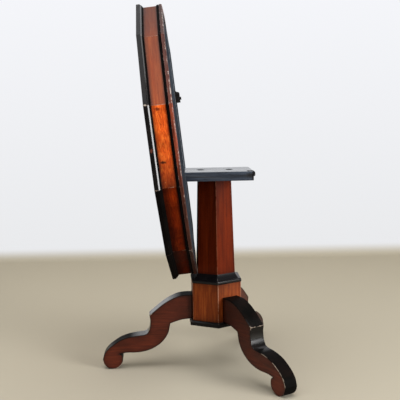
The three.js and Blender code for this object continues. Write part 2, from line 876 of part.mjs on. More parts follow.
function makeCase() {
  const flangeEnd = caseMouth + caseLength + caseFlangeTail;
  const flangeFoot = caseTop - caseFlangeThickness;
  const tail = caseMouth + caseLength;
  const outline = new THREE.Shape();
  outline.moveTo(caseMouth, caseFoot);
  outline.lineTo(tail - caseEndWall, caseFoot);
  outline.lineTo(tail, caseFoot + caseEndWall);
  outline.lineTo(tail + caseEndWall / 4, flangeFoot - caseHeight / 3);
  outline.quadraticCurveTo(tail + caseEndWall, flangeFoot, flangeEnd, flangeFoot);
  outline.lineTo(flangeEnd, caseTop);
  outline.lineTo(caseMouth, caseTop);
  outline.closePath();
  const body = new THREE.ExtrudeGeometry(outline, {
    depth: caseWidth,
    bevelEnabled: false,
    curveSegments: 8,
  });
  body.rotateX(Math.PI / 2).translate(0, caseWidth / 2, 0);
  const half = caseFlangeWidth / 2;
  const flange = box(catchRailX, flangeEnd, -half, half, flangeFoot, caseTop);
  const channelHalf = boltWidth / 2 + clearance;
  const channelEnd = boltX + boltLength + clearance;
  const channelFoot = boltTop - boltThickness - clearance;
  const channel = box(
    caseMouth - overrun,
    channelEnd,
    -channelHalf,
    channelHalf,
    channelFoot,
    boltTop + clearance,
  );
  const slotHalf = knobNeckRadius + clearance;
  const slot = box(
    caseMouth - overrun,
    knobX + slotHalf,
    -slotHalf,
    slotHalf,
    caseFoot - overrun,
    channelFoot + overrun / 2,
  );
  return cut(join(body, [flange]), [channel, slot, ...caseHoles()]);
}

function makeCatchRail() {
  return cut(makeRail(railSpecs.catch_rail), caseHoles());
}

function makeBolt() {
  const half = boltWidth / 2;
  const bar = box(boltX, boltX + boltLength, -half, half, boltTop - boltThickness, boltTop);
  const socket = uprightCylinder(
    knobNeckRadius / 2 + clearance,
    boltTop - boltThickness - overrun,
    boltTop - boltThickness / 4,
    knobX,
    0,
    16,
  );
  return cut(bar, [socket]);
}

// A stud knob: its root sits in the bolt, its neck runs in the slot, and its head stands below the case.
function makeKnob() {
  const boltFoot = boltTop - boltThickness;
  const root = knobNeckRadius / 2;
  const edge = knobHeight / 4;
  const headTop = caseFoot - clearance;
  const profile = [
    [0, headTop - knobHeight],
    [knobRadius - edge, headTop - knobHeight],
    [knobRadius, headTop - knobHeight + edge],
    [knobRadius, headTop - edge],
    [knobRadius - edge, headTop],
    [knobNeckRadius, headTop],
    [knobNeckRadius, boltFoot - clearance],
    [root, boltFoot - clearance],
    [root, boltTop - boltThickness / 4 - clearance],
    [0, boltTop - boltThickness / 4 - clearance],
  ];
  return turned(profile, 20).translate(knobX, 0, 0);
}

// Top, turned about the pivot pins from closed to resting against the column
const hinge = new THREE.Group();
hinge.position.set(pivotX, 0, pivotZ);
hinge.rotation.y = -opening;
table.add(hinge);
const top = new THREE.Group();
top.position.set(-pivotX, 0, -pivotZ);
hinge.add(top);

add(top, "top_board", makeBoard(), "veneer");
add(top, "edge_moulding", makeEdgeMoulding(), "ebonised");
for (let i = 0; i < topSides; i += 1) {
  add(top, "apron_board_" + String(i + 1).padStart(2, "0"), makeApronBoard(i), "veneer");
}
add(top, "rim_bead", makeRimBead(), "ebonised");
for (const [name, side] of Object.entries(bearerSides)) {
  add(top, "bearer_" + name, makeBearer(side), "stainedWood");
  add(top, "pivot_pin_" + name, makePin(side), "iron");
  bearerScrewPlaces(side).forEach((place, i) =>
    add(top, "bearer_screw_" + name + "_" + (i + 1), screwAt(bearerScrew, place, [0, 0, -1]), "iron"),
  );
}
add(top, "seat_rail_back", makeRail(railSpecs.seat_rail_back), "stainedWood");
add(top, "seat_rail_fore", makeRail(railSpecs.seat_rail_fore), "stainedWood");
add(top, "catch_rail", makeCatchRail(), "stainedWood");
add(top, "catch_case", makeCase(), "iron");
caseScrewPlaces().forEach((place, i) =>
  add(top, "catch_case_screw_" + (i + 1), screwAt(plateScrew, place, [0, 0, -1]), "iron"),
);
add(top, "catch_bolt", makeBolt(), "iron");
add(top, "catch_knob", makeKnob(), "iron");

// The part's origin is on the floor, under the middle of the space between the toes.
const backTurn = baseTurn;
const frontTurn = Math.PI / 3 - baseTurn;
const backToe = legReach * Math.cos(backTurn) + (legToeThickness / 2) * Math.sin(backTurn);
const frontToe = legReach * Math.cos(frontTurn) + (legToeThickness / 2) * Math.sin(frontTurn);
table.position.x = (backToe - frontToe) / 2;

export default table;
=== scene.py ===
import math

import bmesh
import bpy
import numpy as np
from mathutils import Matrix, Vector
from mathutils.geometry import delaunay_2d_cdt


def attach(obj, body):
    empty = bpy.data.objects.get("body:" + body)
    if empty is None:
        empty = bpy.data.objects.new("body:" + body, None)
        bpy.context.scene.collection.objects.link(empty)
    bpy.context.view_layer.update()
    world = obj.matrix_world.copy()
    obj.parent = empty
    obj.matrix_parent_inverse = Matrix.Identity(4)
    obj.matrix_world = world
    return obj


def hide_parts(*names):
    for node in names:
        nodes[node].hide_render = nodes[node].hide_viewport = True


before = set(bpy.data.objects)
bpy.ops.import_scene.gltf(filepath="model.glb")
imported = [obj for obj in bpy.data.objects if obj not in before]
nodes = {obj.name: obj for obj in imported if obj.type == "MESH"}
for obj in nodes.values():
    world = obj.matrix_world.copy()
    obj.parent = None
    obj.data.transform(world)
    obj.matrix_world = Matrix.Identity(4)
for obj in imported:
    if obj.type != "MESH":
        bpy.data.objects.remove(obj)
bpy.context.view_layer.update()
print("frame loaded:", len(nodes), "nodes")

# Where things stand: the column's axis, the hinge, how far the top is tipped and how the base is turned
stand = {
    "axisX": 0.0827545,
    "pivotX": -0.0347455,
    "pivotZ": 0.6847,
    "opening": math.radians(96.27021),
    "baseTurn": math.radians(3),
}


def spun(x, y, angle):
    # A pair of coordinates turned about zero
    c, s = math.cos(angle), math.sin(angle)
    return x * c - y * s, x * s + y * c


def tipped(points):
    # Points of the closed top, measured from the column's axis, turned back about the hinge
    out, up = points[:, 0] + stand["axisX"] - stand["pivotX"], points[:, 2] - stand["pivotZ"]
    x, z = spun(out, up, stand["opening"])
    return np.column_stack([x + stand["pivotX"], points[:, 1], z + stand["pivotZ"]])


def based(points):
    # Points of the base, measured from its axis, turned a little as the base stands on the block
    x, y = spun(points[:, 0], points[:, 1], stand["baseTurn"])
    return np.column_stack([x + stand["axisX"], y, points[:, 2]])


def gridQuads(rows, columns, down, across):
    # Quads between neighbouring points of a grid; a step past the last row or column comes back to the first
    i, j = np.arange(down)[:, None], np.arange(across)[None]
    iNext, jNext = (i + 1) % rows, (j + 1) % columns
    corners = ((i, j), (i, jNext), (iNext, jNext), (iNext, j))
    return np.column_stack([(row * columns + column).ravel() for row, column in corners])


def quadUv(corners, starts, ends):
    # The UV of each quad, in the corner order of gridQuads: its four places across, its start and end along
    pairs = zip(corners, (starts, starts, ends, ends))
    return np.stack([np.dstack(np.broadcast_arrays(*pair)) for pair in pairs], axis=2).reshape(-1, 2)


def runAlong(line):
    # How far round a closed line each of its steps starts and ends
    ends = np.cumsum(np.linalg.norm(np.roll(line, -1, axis=0) - line, axis=1))
    return np.append(0, ends[:-1]), ends


def alongLine(line):
    # The unit direction of a closed line at each point, from the point before to the point after
    ahead = np.roll(line, -1, axis=0) - np.roll(line, 1, axis=0)
    return ahead / np.linalg.norm(ahead, axis=1)[:, None]


def roundCorners(corners, steps=3, closed=False):
    # A polyline whose corners [x, y, radius] become short parabolas, with a point close outside each
    # so that the flats stay flat in shading. Gives the points and their distance to a rounded corner.
    support, mostSupport, mostReach = 0.0006, 0.04, 0.45  # the outside point, and the most as shares of a flat
    endStrip, longFlat = 0.0015, 0.004  # a long flat is cut near both ends and in its middle
    count = len(corners)
    made, arrises = [], []
    for i, (x, y, radius) in enumerate(corners):
        here = np.array([x, y])
        if radius == 0 or (not closed and i in (0, count - 1)):
            made.append(here[None])
            continue
        before, after = (np.array(corners[k % count][:2]) - here for k in (i - 1, i + 1))
        nearBefore, nearAfter = np.linalg.norm(before), np.linalg.norm(after)
        before, after = before / nearBefore, after / nearAfter
        bend = math.pi - math.acos(np.clip(before @ after, -1, 1))
        reach = min(radius * math.tan(bend / 2), mostReach * nearBefore, mostReach * nearAfter)
        t = np.linspace(0, 1, steps + 1)[:, None]
        start, end = here + before * reach, here + after * reach
        arc = (1 - t) ** 2 * start + 2 * t * (1 - t) * here + t**2 * end
        outside = min(support, mostSupport * nearBefore), min(support, mostSupport * nearAfter)
        made.append(np.vstack([start + before * outside[0], arc, end + after * outside[1]]))
        arrises.append(here)
    line = np.vstack(made)
    starts, ends = line, np.roll(line, -1, axis=0)
    if not closed:
        starts, ends = line[:-1], line[1:]
    parts = []
    for start, end in zip(starts, ends):
        length = np.linalg.norm(end - start)
        cuts = [0, endStrip / length, 0.5, 1 - endStrip / length] if length > longFlat else [0]
        parts.append(start + (end - start) * np.array(cuts)[:, None])
    line = np.vstack(parts if closed else [*parts, line[-1:]])
    gaps = np.linalg.norm(line[:, None] - np.array(arrises)[None], axis=2)
    return line, gaps.min(axis=1)


def linkObject(name, data):
    # A new object of the data, at the origin
    obj = bpy.data.objects.new(name, data)
    bpy.context.scene.collection.objects.link(obj)
    return obj


def putMesh(name, points, faces, uv, materials, faceMaterial, body, replaced, arris, tone, shadeAndGrime=1.0):
    # Arrays into one mesh object, with its UV in metres, its distance to an arris, its tone and how much of
    # its colour is left under grime and painted shade
    crease = math.radians(50)
    mesh = bpy.data.meshes.new(name)
    mesh.from_pydata(points.tolist(), [], [face.tolist() for group in faces for face in group])
    mesh.polygons.foreach_set("use_smooth", np.ones(len(mesh.polygons), bool))
    mesh.polygons.foreach_set("material_index", np.asarray(faceMaterial, np.int32))
    mesh.uv_layers.new(name="grain").data.foreach_set("uv", uv.ravel())
    fields = {"arris": arris, "tone": tone, "shadeAndGrime": shadeAndGrime * np.ones(len(points))}
    for field, values in fields.items():
        domain = "POINT" if len(values) == len(points) else "FACE"
        mesh.attributes.new(field, "FLOAT", domain).data.foreach_set("value", np.asarray(values, float))
    for material in materials:
        mesh.materials.append(material)
    mesh.set_sharp_from_angle(angle=crease)
    mesh.update()
    obj = linkObject(name, mesh)
    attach(obj, body)
    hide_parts(*replaced)
    return obj


def aroundPolygon(sides, turn, spans, steps):
    # The samples once round a regular polygon: along each side at the given shares, then round the corner.
    # Gives the corner vector, the outward normal and the share along the side of each.
    step = 2 * math.pi / sides
    corner = turn + step * np.arange(sides + 1)
    cornerAt = np.column_stack([np.cos(corner), np.sin(corner)]) / math.cos(step / 2)
    share = np.concatenate([spans, np.ones(steps - 1)])
    bend = np.concatenate([np.zeros(len(spans)), np.linspace(0, 1, steps + 1)[1:-1]])
    along = cornerAt[:-1, None] * (1 - share[:, None]) + cornerAt[1:, None] * share[:, None]
    normal = ((corner[:-1] + step / 2)[:, None] + step * bend).ravel()
    facings = np.column_stack([np.cos(normal), np.sin(normal)])
    return along.reshape(-1, 2), facings, np.tile(share, sides)


# How every polygon is sampled and aged: distances from a corner, steps along the rest of a side and round
# the corner, how far on each side takes its veneer from the sheet, and the grime by distance from a corner
polygonDetail = {
    "near": (0, 0.0006, 0.002, 0.005, 0.012, 0.03), "flatSteps": 4, "bendSteps": 4, "nextSheet": 0.83,
    "cornerGrime": ((0.002, 0.012), (0.82, 1)),
}


def polygonPiece(
    name, shape, profile, materials, place, body, replaced,
    arris=1.0, rowMaterial=0, tones=1.0, rowShade=1.0, dulled=None,
):
    # A profile of [distance to the side, height] carried round a polygon with softened corners: each point
    # is (distance - rounding) times the corner vector, plus rounding times the normal, at its height.
    d = polygonDetail
    sides, rounding, closed, bendSteps = shape["sides"], shape["rounding"], shape["closed"], d["bendSteps"]
    halfSide = math.tan(math.pi / sides)
    near = np.array(d["near"]) / (2 * profile[:, 0].max() * halfSide)
    spans = np.concatenate([near, np.linspace(near[-1], 1 - near[-1], d["flatSteps"] + 1)[1:-1], 1 - near[::-1]])
    along, facings, shares = aroundPolygon(sides, shape["turn"], spans, bendSteps)
    flat = (profile[:, 0] - rounding)[:, None, None] * along[None] + rounding * facings[None]
    rows, columns = flat.shape[:2]
    points = np.dstack([flat, np.broadcast_to(profile[:, 1:], (rows, columns))]).reshape(-1, 3)
    row = np.arange(rows if closed else rows - 1)
    nextRow = (row + 1) % rows
    faces = [gridQuads(rows, columns, len(row), columns)]
    # Each strip between columns keeps to one side, and the corner is shared out at the middle of its bend
    perSide, lastSpan = len(spans) + bendSteps - 1, len(spans) - 1
    strip = np.arange(columns)
    inSide = strip % perSide
    nextSide = inSide - lastSpan >= bendSteps // 2
    side = (strip // perSide + nextSide) % sides
    arcLength = rounding * 2 * math.pi / sides / bendSteps
    length = 2 * (profile[:, 0] - rounding) * halfSide
    spanAt = np.concatenate([spans, np.ones(bendSteps)])

    def across(rowsAt, step):
        # Measured from the middle of the side, and past the middle of a bend from that of the next side
        beyond = np.maximum(inSide + step - lastSpan, 0)
        ahead = (spanAt[inSide + step] - 0.5) * length[rowsAt][:, None] + beyond * arcLength
        back = -0.5 * length[rowsAt][:, None] - (bendSteps - beyond) * arcLength
        return np.where(nextSide[None], back, ahead) + side * d["nextSheet"]

    starts, ends = (run[row][:, None] for run in runAlong(profile))
    uv = quadUv([across(row, 0), across(row, 1), across(nextRow, 1), across(nextRow, 0)], starts, ends)
    rowMaterial = np.broadcast_to(rowMaterial, rows)
    faceMaterial = np.repeat(rowMaterial[row][:, None], columns, axis=1)
    if dulled:
        # On some sides the first material has lost its polish and another takes its place
        dullSides, dullMaterial = dulled
        faceMaterial[np.isin(side, dullSides)[None] & (faceMaterial == 0)] = dullMaterial
    tone = np.tile(np.broadcast_to(tones, sides)[side], len(row))
    if not closed:
        caps = strip[::-1], strip + (rows - 1) * columns
        faces += [cap[None] for cap in caps]
        uv = np.vstack([uv, *[points[cap, :2] for cap in caps]])
        faceMaterial = np.append(faceMaterial, rowMaterial[[0, -1]])
        tone = np.append(tone, [1, 1])
    # Grime near each corner, times each row's painted shade, scales the colour
    cornerGap = np.minimum(shares, 1 - shares)[None] * length[:, None]
    return putMesh(
        name, place(points), faces, uv, materials, faceMaterial.ravel(), body, replaced,
        arris=np.minimum(cornerGap, np.broadcast_to(arris, rows)[:, None]).ravel(),
        tone=tone,
        shadeAndGrime=(np.interp(cornerGap, *d["cornerGrime"]) * np.broadcast_to(rowShade, rows)[:, None]).ravel(),
    )


def flatCap(ring, rounding):
    # A flat face inside a closed ring: the ring, rings close inside it and a coarse grid, in triangles.
    # Gives each point with its distance to the arris, and the triangles.
    insets, gridStep, gridClear = (0.0006, 0.002, 0.005), 0.011, 0.009
    ahead = alongLine(ring)
    inward = np.column_stack([-ahead[:, 1], ahead[:, 0]])
    grid = np.meshgrid(*[np.arange(ring[:, k].min(), ring[:, k].max(), gridStep) for k in range(2)])
    wanted = [(ring + inward * inset, inset * 0.9) for inset in insets]
    wanted.append((np.stack(grid, -1).reshape(-1, 2), gridClear))
    end = np.roll(ring, -1, axis=0)
    edge = end - ring
    rise = np.where(edge[:, 1] == 0, 1e-12, edge[:, 1])
    kept = [np.column_stack([ring, np.full(len(ring), rounding)])]
    for places, least in wanted:
        offset = places[:, None] - ring[None]
        t = np.clip((offset * edge[None]).sum(2) / (edge[None] ** 2).sum(2), 0, 1)
        gap = np.linalg.norm(offset - t[:, :, None] * edge[None], axis=2).min(axis=1)
        # A place is inside when an odd number of edges cross the line that runs out from it along x
        crossing = (ring[None, :, 1] > places[:, None, 1]) != (end[None, :, 1] > places[:, None, 1])
        meet = ring[None, :, 0] + offset[:, :, 1] * (edge[:, 0] / rise)[None]
        inside = (crossing & (places[:, None, 0] < meet)).sum(axis=1) % 2 == 1
        good = inside & (gap > least)
        kept.append(np.column_stack([places[good], gap[good] + rounding]))
    points = np.vstack(kept)
    order = np.arange(len(ring))
    bounds = np.column_stack([order, np.roll(order, -1)]).tolist()
    made = delaunay_2d_cdt([Vector(flat) for flat in points[:, :2].tolist()], bounds, [], 1, 1e-8)
    triangles = np.array([first[0] for first in made[3]])[np.array(made[2])]
    a, b, c = (points[triangles[:, k], :2] for k in range(3))
    area = (b - a)[:, 0] * (c - a)[:, 1] - (b - a)[:, 1] * (c - a)[:, 0]
    triangles[area < 0] = triangles[area < 0][:, ::-1]
    return points, triangles


easing = {"segments": 2, "angle": math.radians(40), "endFacing": 0.15}


def softened(name, material, width, body, endMaterial=None):
    # A merged copy of a plain solid with its edges eased, for fittings and hidden wood. The faces toward its
    # ends can have a finish of their own.
    source = nodes[name]
    mesh = source.data.copy()
    mesh.name = name + "_eased"
    mesh.transform(source.matrix_world)
    work = bmesh.new()
    work.from_mesh(mesh)
    bmesh.ops.remove_doubles(work, verts=work.verts, dist=1e-6)
    bmesh.ops.dissolve_limit(work, angle_limit=math.radians(1), verts=work.verts, edges=work.edges)
    work.to_mesh(mesh)
    work.free()
    mesh.materials.clear()
    mesh.materials.append(material)
    if endMaterial:
        mesh.materials.append(endMaterial)
        normals = np.empty(3 * len(mesh.polygons))
        mesh.polygons.foreach_get("normal", normals)
        towardEnd = np.abs(normals[::3]) > easing["endFacing"]
        mesh.polygons.foreach_set("material_index", towardEnd.astype(np.int32))
    mesh.polygons.foreach_set("use_smooth", np.ones(len(mesh.polygons), bool))
    mesh.set_sharp_from_angle(angle=easing["angle"])
    obj = linkObject(name + "_eased", mesh)
    bevel = obj.modifiers.new("eased edges", "BEVEL")
    bevel.width, bevel.segments = width, easing["segments"]
    bevel.limit_method, bevel.angle_limit = "ANGLE", easing["angle"]
    bevel.harden_normals = True
    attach(obj, body)
    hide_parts(name)
    return obj


def linear(text):
    # sRGB hex to the linear colour that shaders take
    srgb = np.array([int(text[i : i + 2], 16) for i in (0, 2, 4)]) / 255
    flat = np.where(srgb <= 0.04045, srgb / 12.92, ((srgb + 0.055) / 1.055) ** 2.4)
    return (*flat.tolist(), 1)


def addNode(tree, kind, values=(), links=(), stops=(), **settings):
    # One node with its settings, socket values and incoming links, and a ramp's stops from first to last
    made = tree.nodes.new(kind)
    for key, value in settings.items():
        setattr(made, key, value)
    for key, value in dict(values).items():
        made.inputs[key].default_value = value
    for key, source in dict(links).items():
        tree.links.new(source, made.inputs[key])
    if stops:
        elements = made.color_ramp.elements
        for index, (position, shade) in enumerate((stops[0], stops[-1])):
            elements[index].position, elements[index].color = position, linear(shade)
        for position, shade in stops[1:-1]:
            elements.new(position).color = linear(shade)
    return made


def blankMaterial(name):
    # A material with an empty tree
    material = bpy.data.materials.new(name)
    material.use_nodes = True
    material.node_tree.nodes.clear()
    return material, material.node_tree


def shellacked(tree, look, colour, rough, relief, coat=None):
    # The end of both wood finishes: relief as bump, under shellac whose weight is one number or follows a socket
    height, strength, distance = relief
    bump = addNode(tree, "ShaderNodeBump", {"Strength": strength, "Distance": distance}, {"Height": height})
    values = {
        "Coat Weight": look.get("coat", 0), "Coat Roughness": look["coatRoughness"], "IOR": 1.5,
        "Specular IOR Level": look["specular"],
    }
    links = {"Base Color": colour, "Roughness": rough, "Normal": bump.outputs["Normal"]}
    if coat:
        links["Coat Weight"] = coat
    shader = addNode(tree, "ShaderNodeBsdfPrincipled", values, links)
    addNode(tree, "ShaderNodeOutputMaterial", {}, {"Surface": shader.outputs["BSDF"]})


def polishedWood(name, look):
    # Shellac-polished wood: long streaks of figure along the grain, short dark pores, a slow change of colour
    # over a hand's width, and bare pale wood where the arrises are knocked. Sizes are in metres.
    material, tree = blankMaterial(name)
    onSurface = look.get("uv", True)
    if onSurface:
        coords = addNode(tree, "ShaderNodeUVMap", uv_map="grain").outputs["UV"]
    else:
        coords = addNode(tree, "ShaderNodeTexCoord").outputs["Object"]
    turned = addNode(tree, "ShaderNodeMapping", {"Rotation": look.get("turn", (0, 0, 0))}, {"Vector": coords})
    # Streaks, pores and broad figure: length and width as shares of a streak's, detail, roughness and wander
    patterns = ((1, 1, 5, 0.62, look.get("wander", 0.4)), (0.12, 0.3, 2, 0.6, 0), (1.1, 9, 2, 0.5, 0.6))
    noises = []
    for longShare, wideShare, detail, roughness, wander in patterns:
        along, across = 1 / (look["streakLength"] * longShare), 1 / (look["streakWidth"] * wideShare)
        scaled = addNode(
            tree, "ShaderNodeMapping", {"Scale": (along, across, across)}, {"Vector": turned.outputs["Vector"]}
        )
        noise = addNode(
            tree, "ShaderNodeTexNoise",
            {"Scale": 1, "Detail": detail, "Roughness": roughness, "Distortion": wander},
            {"Vector": scaled.outputs["Vector"]},
        )
        noises.append(noise.outputs["Fac"])
    streak, pore, broad = noises
    shades = [(0.3, look["dark"]), (0.5, look["middle"]), (0.72, look["light"])]
    colour = addNode(tree, "ShaderNodeValToRGB", {}, {"Fac": streak}, shades).outputs["Color"]
    deep = addNode(
        tree, "ShaderNodeMapRange",
        {"From Min": 0.35, "From Max": 0.7, "To Min": 1 - look["figure"], "To Max": 1 + look["figure"] * 0.6},
        {"Value": broad},
    ).outputs["Result"]
    colour = addNode(tree, "ShaderNodeVectorMath", {}, {0: colour, "Scale": deep}, operation="SCALE").outputs["Vector"]
    poreMask = addNode(
        tree, "ShaderNodeMapRange", {"From Min": 0.56, "From Max": 0.7, "To Max": look["pores"]}, {"Value": pore}
    ).outputs["Result"]
    colour = addNode(
        tree, "ShaderNodeMix", {7: linear(look["pore"])}, {0: poreMask, 6: colour}, data_type="RGBA"
    ).outputs[2]
    if onSurface:
        # The tone and grime attributes scale the colour; they carry painted light and shade as well as grime
        tone, shadeAndGrime = (
            addNode(tree, "ShaderNodeAttribute", attribute_name=field).outputs["Fac"] for field in ("tone", "shadeAndGrime")
        )
        left = addNode(tree, "ShaderNodeMath", {}, {0: tone, 1: shadeAndGrime}, operation="MULTIPLY").outputs["Value"]
        colour = addNode(
            tree, "ShaderNodeVectorMath", {}, {0: colour, "Scale": left}, operation="SCALE"
        ).outputs["Vector"]
    covered = coat = None
    if "marks" in look:
        colour, covered = markedPlaces(tree, colour, look["marks"])
    rough = addNode(
        tree, "ShaderNodeMapRange",
        {
            "From Min": 0.3, "From Max": 0.7,
            "To Min": look["roughness"] - 0.06, "To Max": look["roughness"] + 0.09,
        },
        {"Value": broad},
    ).outputs["Result"]
    if covered:
        rough = addNode(tree, "ShaderNodeMath", {}, {0: rough, 1: covered}, operation="MAXIMUM").outputs["Value"]
        coat = addNode(
            tree, "ShaderNodeMapRange", {"To Min": look["coat"], "To Max": 0}, {"Value": covered}
        ).outputs["Result"]
    if "wear" in look:
        colour, rough = wornArris(tree, look, colour, rough)
    height = addNode(tree, "ShaderNodeMath", {}, {0: streak, 1: pore}, operation="ADD").outputs["Value"]
    relief = height, 0.12, 0.0006  # streaks and pores, how strong, and how deep in metres
    shellacked(tree, look, colour, rough, relief, coat)
    return material


def markedPlaces(tree, colour, marks):
    # Single marks such as a filled knot or a chip: within a stretched distance of its place the colour changes,
    # and a noise of about 3 mm makes the rim ragged. How far the marks cover is returned too, since dirt and
    # filler are dull.
    coords = addNode(tree, "ShaderNodeTexCoord").outputs["Object"]
    ragged = addNode(tree, "ShaderNodeTexNoise", {"Scale": 350, "Detail": 2}, {"Vector": coords}).outputs["Fac"]
    covered = None
    for place, stretch, radius, shade in marks:
        steps = (("SUBTRACT", {1: place}), ("MULTIPLY", {1: stretch}), ("LENGTH", {}))
        gap = coords
        for operation, values in steps:
            offset = addNode(tree, "ShaderNodeVectorMath", values, {0: gap}, operation=operation)
            gap = offset.outputs["Value" if operation == "LENGTH" else "Vector"]
        rim = addNode(
            tree, "ShaderNodeMath", {1: radius * 1.2}, {0: ragged, 2: gap}, operation="MULTIPLY_ADD"
        ).outputs["Value"]
        mask = addNode(
            tree, "ShaderNodeMapRange",
            {"From Min": radius * 1.1, "From Max": radius * 1.7, "To Min": 0.9, "To Max": 0},
            {"Value": rim},
        ).outputs["Result"]
        colour = addNode(
            tree, "ShaderNodeMix", {7: linear(shade)}, {0: mask, 6: colour}, data_type="RGBA"
        ).outputs[2]
        if covered:
            mask = addNode(tree, "ShaderNodeMath", {}, {0: covered, 1: mask}, operation="MAXIMUM").outputs["Value"]
        covered = mask
    return colour, covered


def wornArris(tree, look, colour, rough):
    # Near an arris the distance to it, less two sizes of noise, falls under the wear's width
    coords = addNode(tree, "ShaderNodeTexCoord").outputs["Object"]
    arris = addNode(tree, "ShaderNodeAttribute", attribute_name="arris").outputs["Fac"]
    chip, patch = (
        addNode(tree, "ShaderNodeTexNoise", values, {"Vector": coords}).outputs["Fac"]
        for values in (
            {"Scale": 1 / look["chip"], "Detail": 3, "Roughness": 0.7},
            {"Scale": 1 / (look["chip"] * 5), "Detail": 1},
        )
    )
    both = addNode(tree, "ShaderNodeMath", {}, {0: chip, 1: patch}, operation="MULTIPLY").outputs["Value"]
    reach = addNode(
        tree, "ShaderNodeMapRange",
        {"From Min": 0.12, "From Max": 0.42, "To Min": -look["wear"] * 0.5, "To Max": look["wear"] * 1.6},
        {"Value": both},
    ).outputs["Result"]
    over = addNode(tree, "ShaderNodeMath", {}, {0: reach, 1: arris}, operation="SUBTRACT").outputs["Value"]
    mask = addNode(
        tree, "ShaderNodeMapRange", {"From Max": look["wear"] * 0.35, "To Max": look["wearStrength"]},
        {"Value": over},
    ).outputs["Result"]
    rubbed = addNode(tree, "ShaderNodeMix", {7: linear(look["bare"])}, {0: mask, 6: colour}, data_type="RGBA")
    dulled = addNode(tree, "ShaderNodeMapRange", {"To Max": 0.6}, {"Value": mask, "To Min": rough})
    return rubbed.outputs[2], dulled.outputs["Result"]


def blackedWood(name, look):
    # Ebonised wood: stained black under shellac, so a soft wide sheen, faint brown in patches of about 45 mm
    # where the stain has thinned, and red-brown to pale where the edge is rubbed through
    material, tree = blankMaterial(name)
    coords = addNode(tree, "ShaderNodeTexCoord").outputs["Object"]
    thin, fine = (
        addNode(tree, "ShaderNodeTexNoise", values, {"Vector": coords}).outputs["Fac"]
        for values in (
            {"Scale": 22, "Detail": 4, "Roughness": 0.6, "Distortion": 0.5},
            {"Scale": 160, "Detail": 3, "Roughness": 0.6},
        )
    )
    shades = [(0.42, look["black"]), (0.78, look["thin"])]
    colour = addNode(tree, "ShaderNodeValToRGB", {}, {"Fac": thin}, shades).outputs["Color"]
    rough = addNode(
        tree, "ShaderNodeMapRange",
        {
            "From Min": 0.3, "From Max": 0.7,
            "To Min": look["roughness"] - 0.06, "To Max": look["roughness"] + 0.12,
        },
        {"Value": thin},
    ).outputs["Result"]
    colour, rough = wornArris(tree, look, colour, rough)
    if "marks" in look:
        colour, _ = markedPlaces(tree, colour, look["marks"])
    coat = None
    if "coat" not in look:
        coat = addNode(tree, "ShaderNodeAttribute", attribute_name="tone").outputs["Fac"]
    relief = fine, look["bump"], 0.0005  # fine grain of about 6 mm, how strong, and how deep in metres
    shellacked(tree, look, colour, rough, relief, coat)
    return material


def darkIron(name, look):
    # Blacked wrought iron: dull dark scale in flakes of about 7 mm, with brighter rubbed spots and a trace of
    # rust in the hollows
    material, tree = blankMaterial(name)
    coords = addNode(tree, "ShaderNodeTexCoord").outputs["Object"]
    scale, patch = (
        addNode(tree, "ShaderNodeTexNoise", values, {"Vector": coords}).outputs["Fac"]
        for values in ({"Scale": 140, "Detail": 4, "Roughness": 0.65}, {"Scale": 45, "Detail": 2})
    )
    shades = [(0.38, look["dark"]), (0.5, look["rust"]), (0.68, look["rubbed"])]
    colour = addNode(tree, "ShaderNodeValToRGB", {}, {"Fac": scale}, shades).outputs["Color"]
    rough = addNode(
        tree, "ShaderNodeMapRange",
        {
            "From Min": 0.35, "From Max": 0.65,
            "To Min": look["roughness"] + 0.12, "To Max": look["roughness"] - 0.1,
        },
        {"Value": patch},
    ).outputs["Result"]
    bump = addNode(tree, "ShaderNodeBump", {"Strength": 0.3, "Distance": 0.0004}, {"Height": scale}).outputs["Normal"]
    shader = addNode(
        tree, "ShaderNodeBsdfPrincipled", {"Metallic": look["metallic"]},
        {"Base Color": colour, "Roughness": rough, "Normal": bump},
    )
    addNode(tree, "ShaderNodeOutputMaterial", {}, {"Surface": shader.outputs["BSDF"]})
    return material


# Mahogany veneer on the apron, faded and warm, with the grain along the rim
apronLook = {
    "dark": "8c2b08", "middle": "bb4911", "light": "e0722a", "pore": "4a1808", "pores": 0.6, "figure": 0.34,
    "streakLength": 0.042, "streakWidth": 0.0078, "wander": 1.9, "roughness": 0.46, "coat": 0.04,
    "coatRoughness": 0.25, "specular": 0.16, "wear": 0.0009, "chip": 0.005, "bare": "c9b098", "wearStrength": 0.75,
    # each mark: its place with the top tipped up, its stretch, its radius and its colour
    "marks": [
        ((-0.0765, -0.4465, 0.7531), (0.75, 1, 1.7), 0.0078, "150401"),
        ((-0.0905, -0.4465, 0.9055), (0.8, 1, 1.5), 0.0085, "6a2009"),
        ((-0.0756, -0.4465, 0.8063), (1.6, 1, 1), 0.0022, "2c0d05"),
        ((-0.0825, -0.4465, 0.8633), (2.2, 1, 1), 0.0026, "4a1607"),
        ((-0.0715, -0.4465, 0.695), (1.6, 1, 2), 0.0026, "b06a3c"),
    ],
}
apronVeneer = polishedWood("mahogany veneer, faded", apronLook)
# The low boards: the same veneer darker and redder, as painted shade, and dull
apronShaded = polishedWood("mahogany veneer, painted shade", dict(
    apronLook, dark="842005", middle="ac3608", light="c84f14", specular=0.03, coat=0.0,
))
# Higher up the same veneer is paler and greyer, as painted sheen
apronSheen = polishedWood("mahogany veneer, painted sheen", {
    "dark": "a03c18", "middle": "bb5523", "light": "d06c38", "pore": "6a2c16", "pores": 0.4, "figure": 0.2,
    "streakLength": 0.13, "streakWidth": 0.006, "roughness": 0.5, "coat": 0.04, "coatRoughness": 0.3,
    "specular": 0.2, "wear": 0.0009, "chip": 0.005, "bare": "c9b098", "wearStrength": 0.5,
})
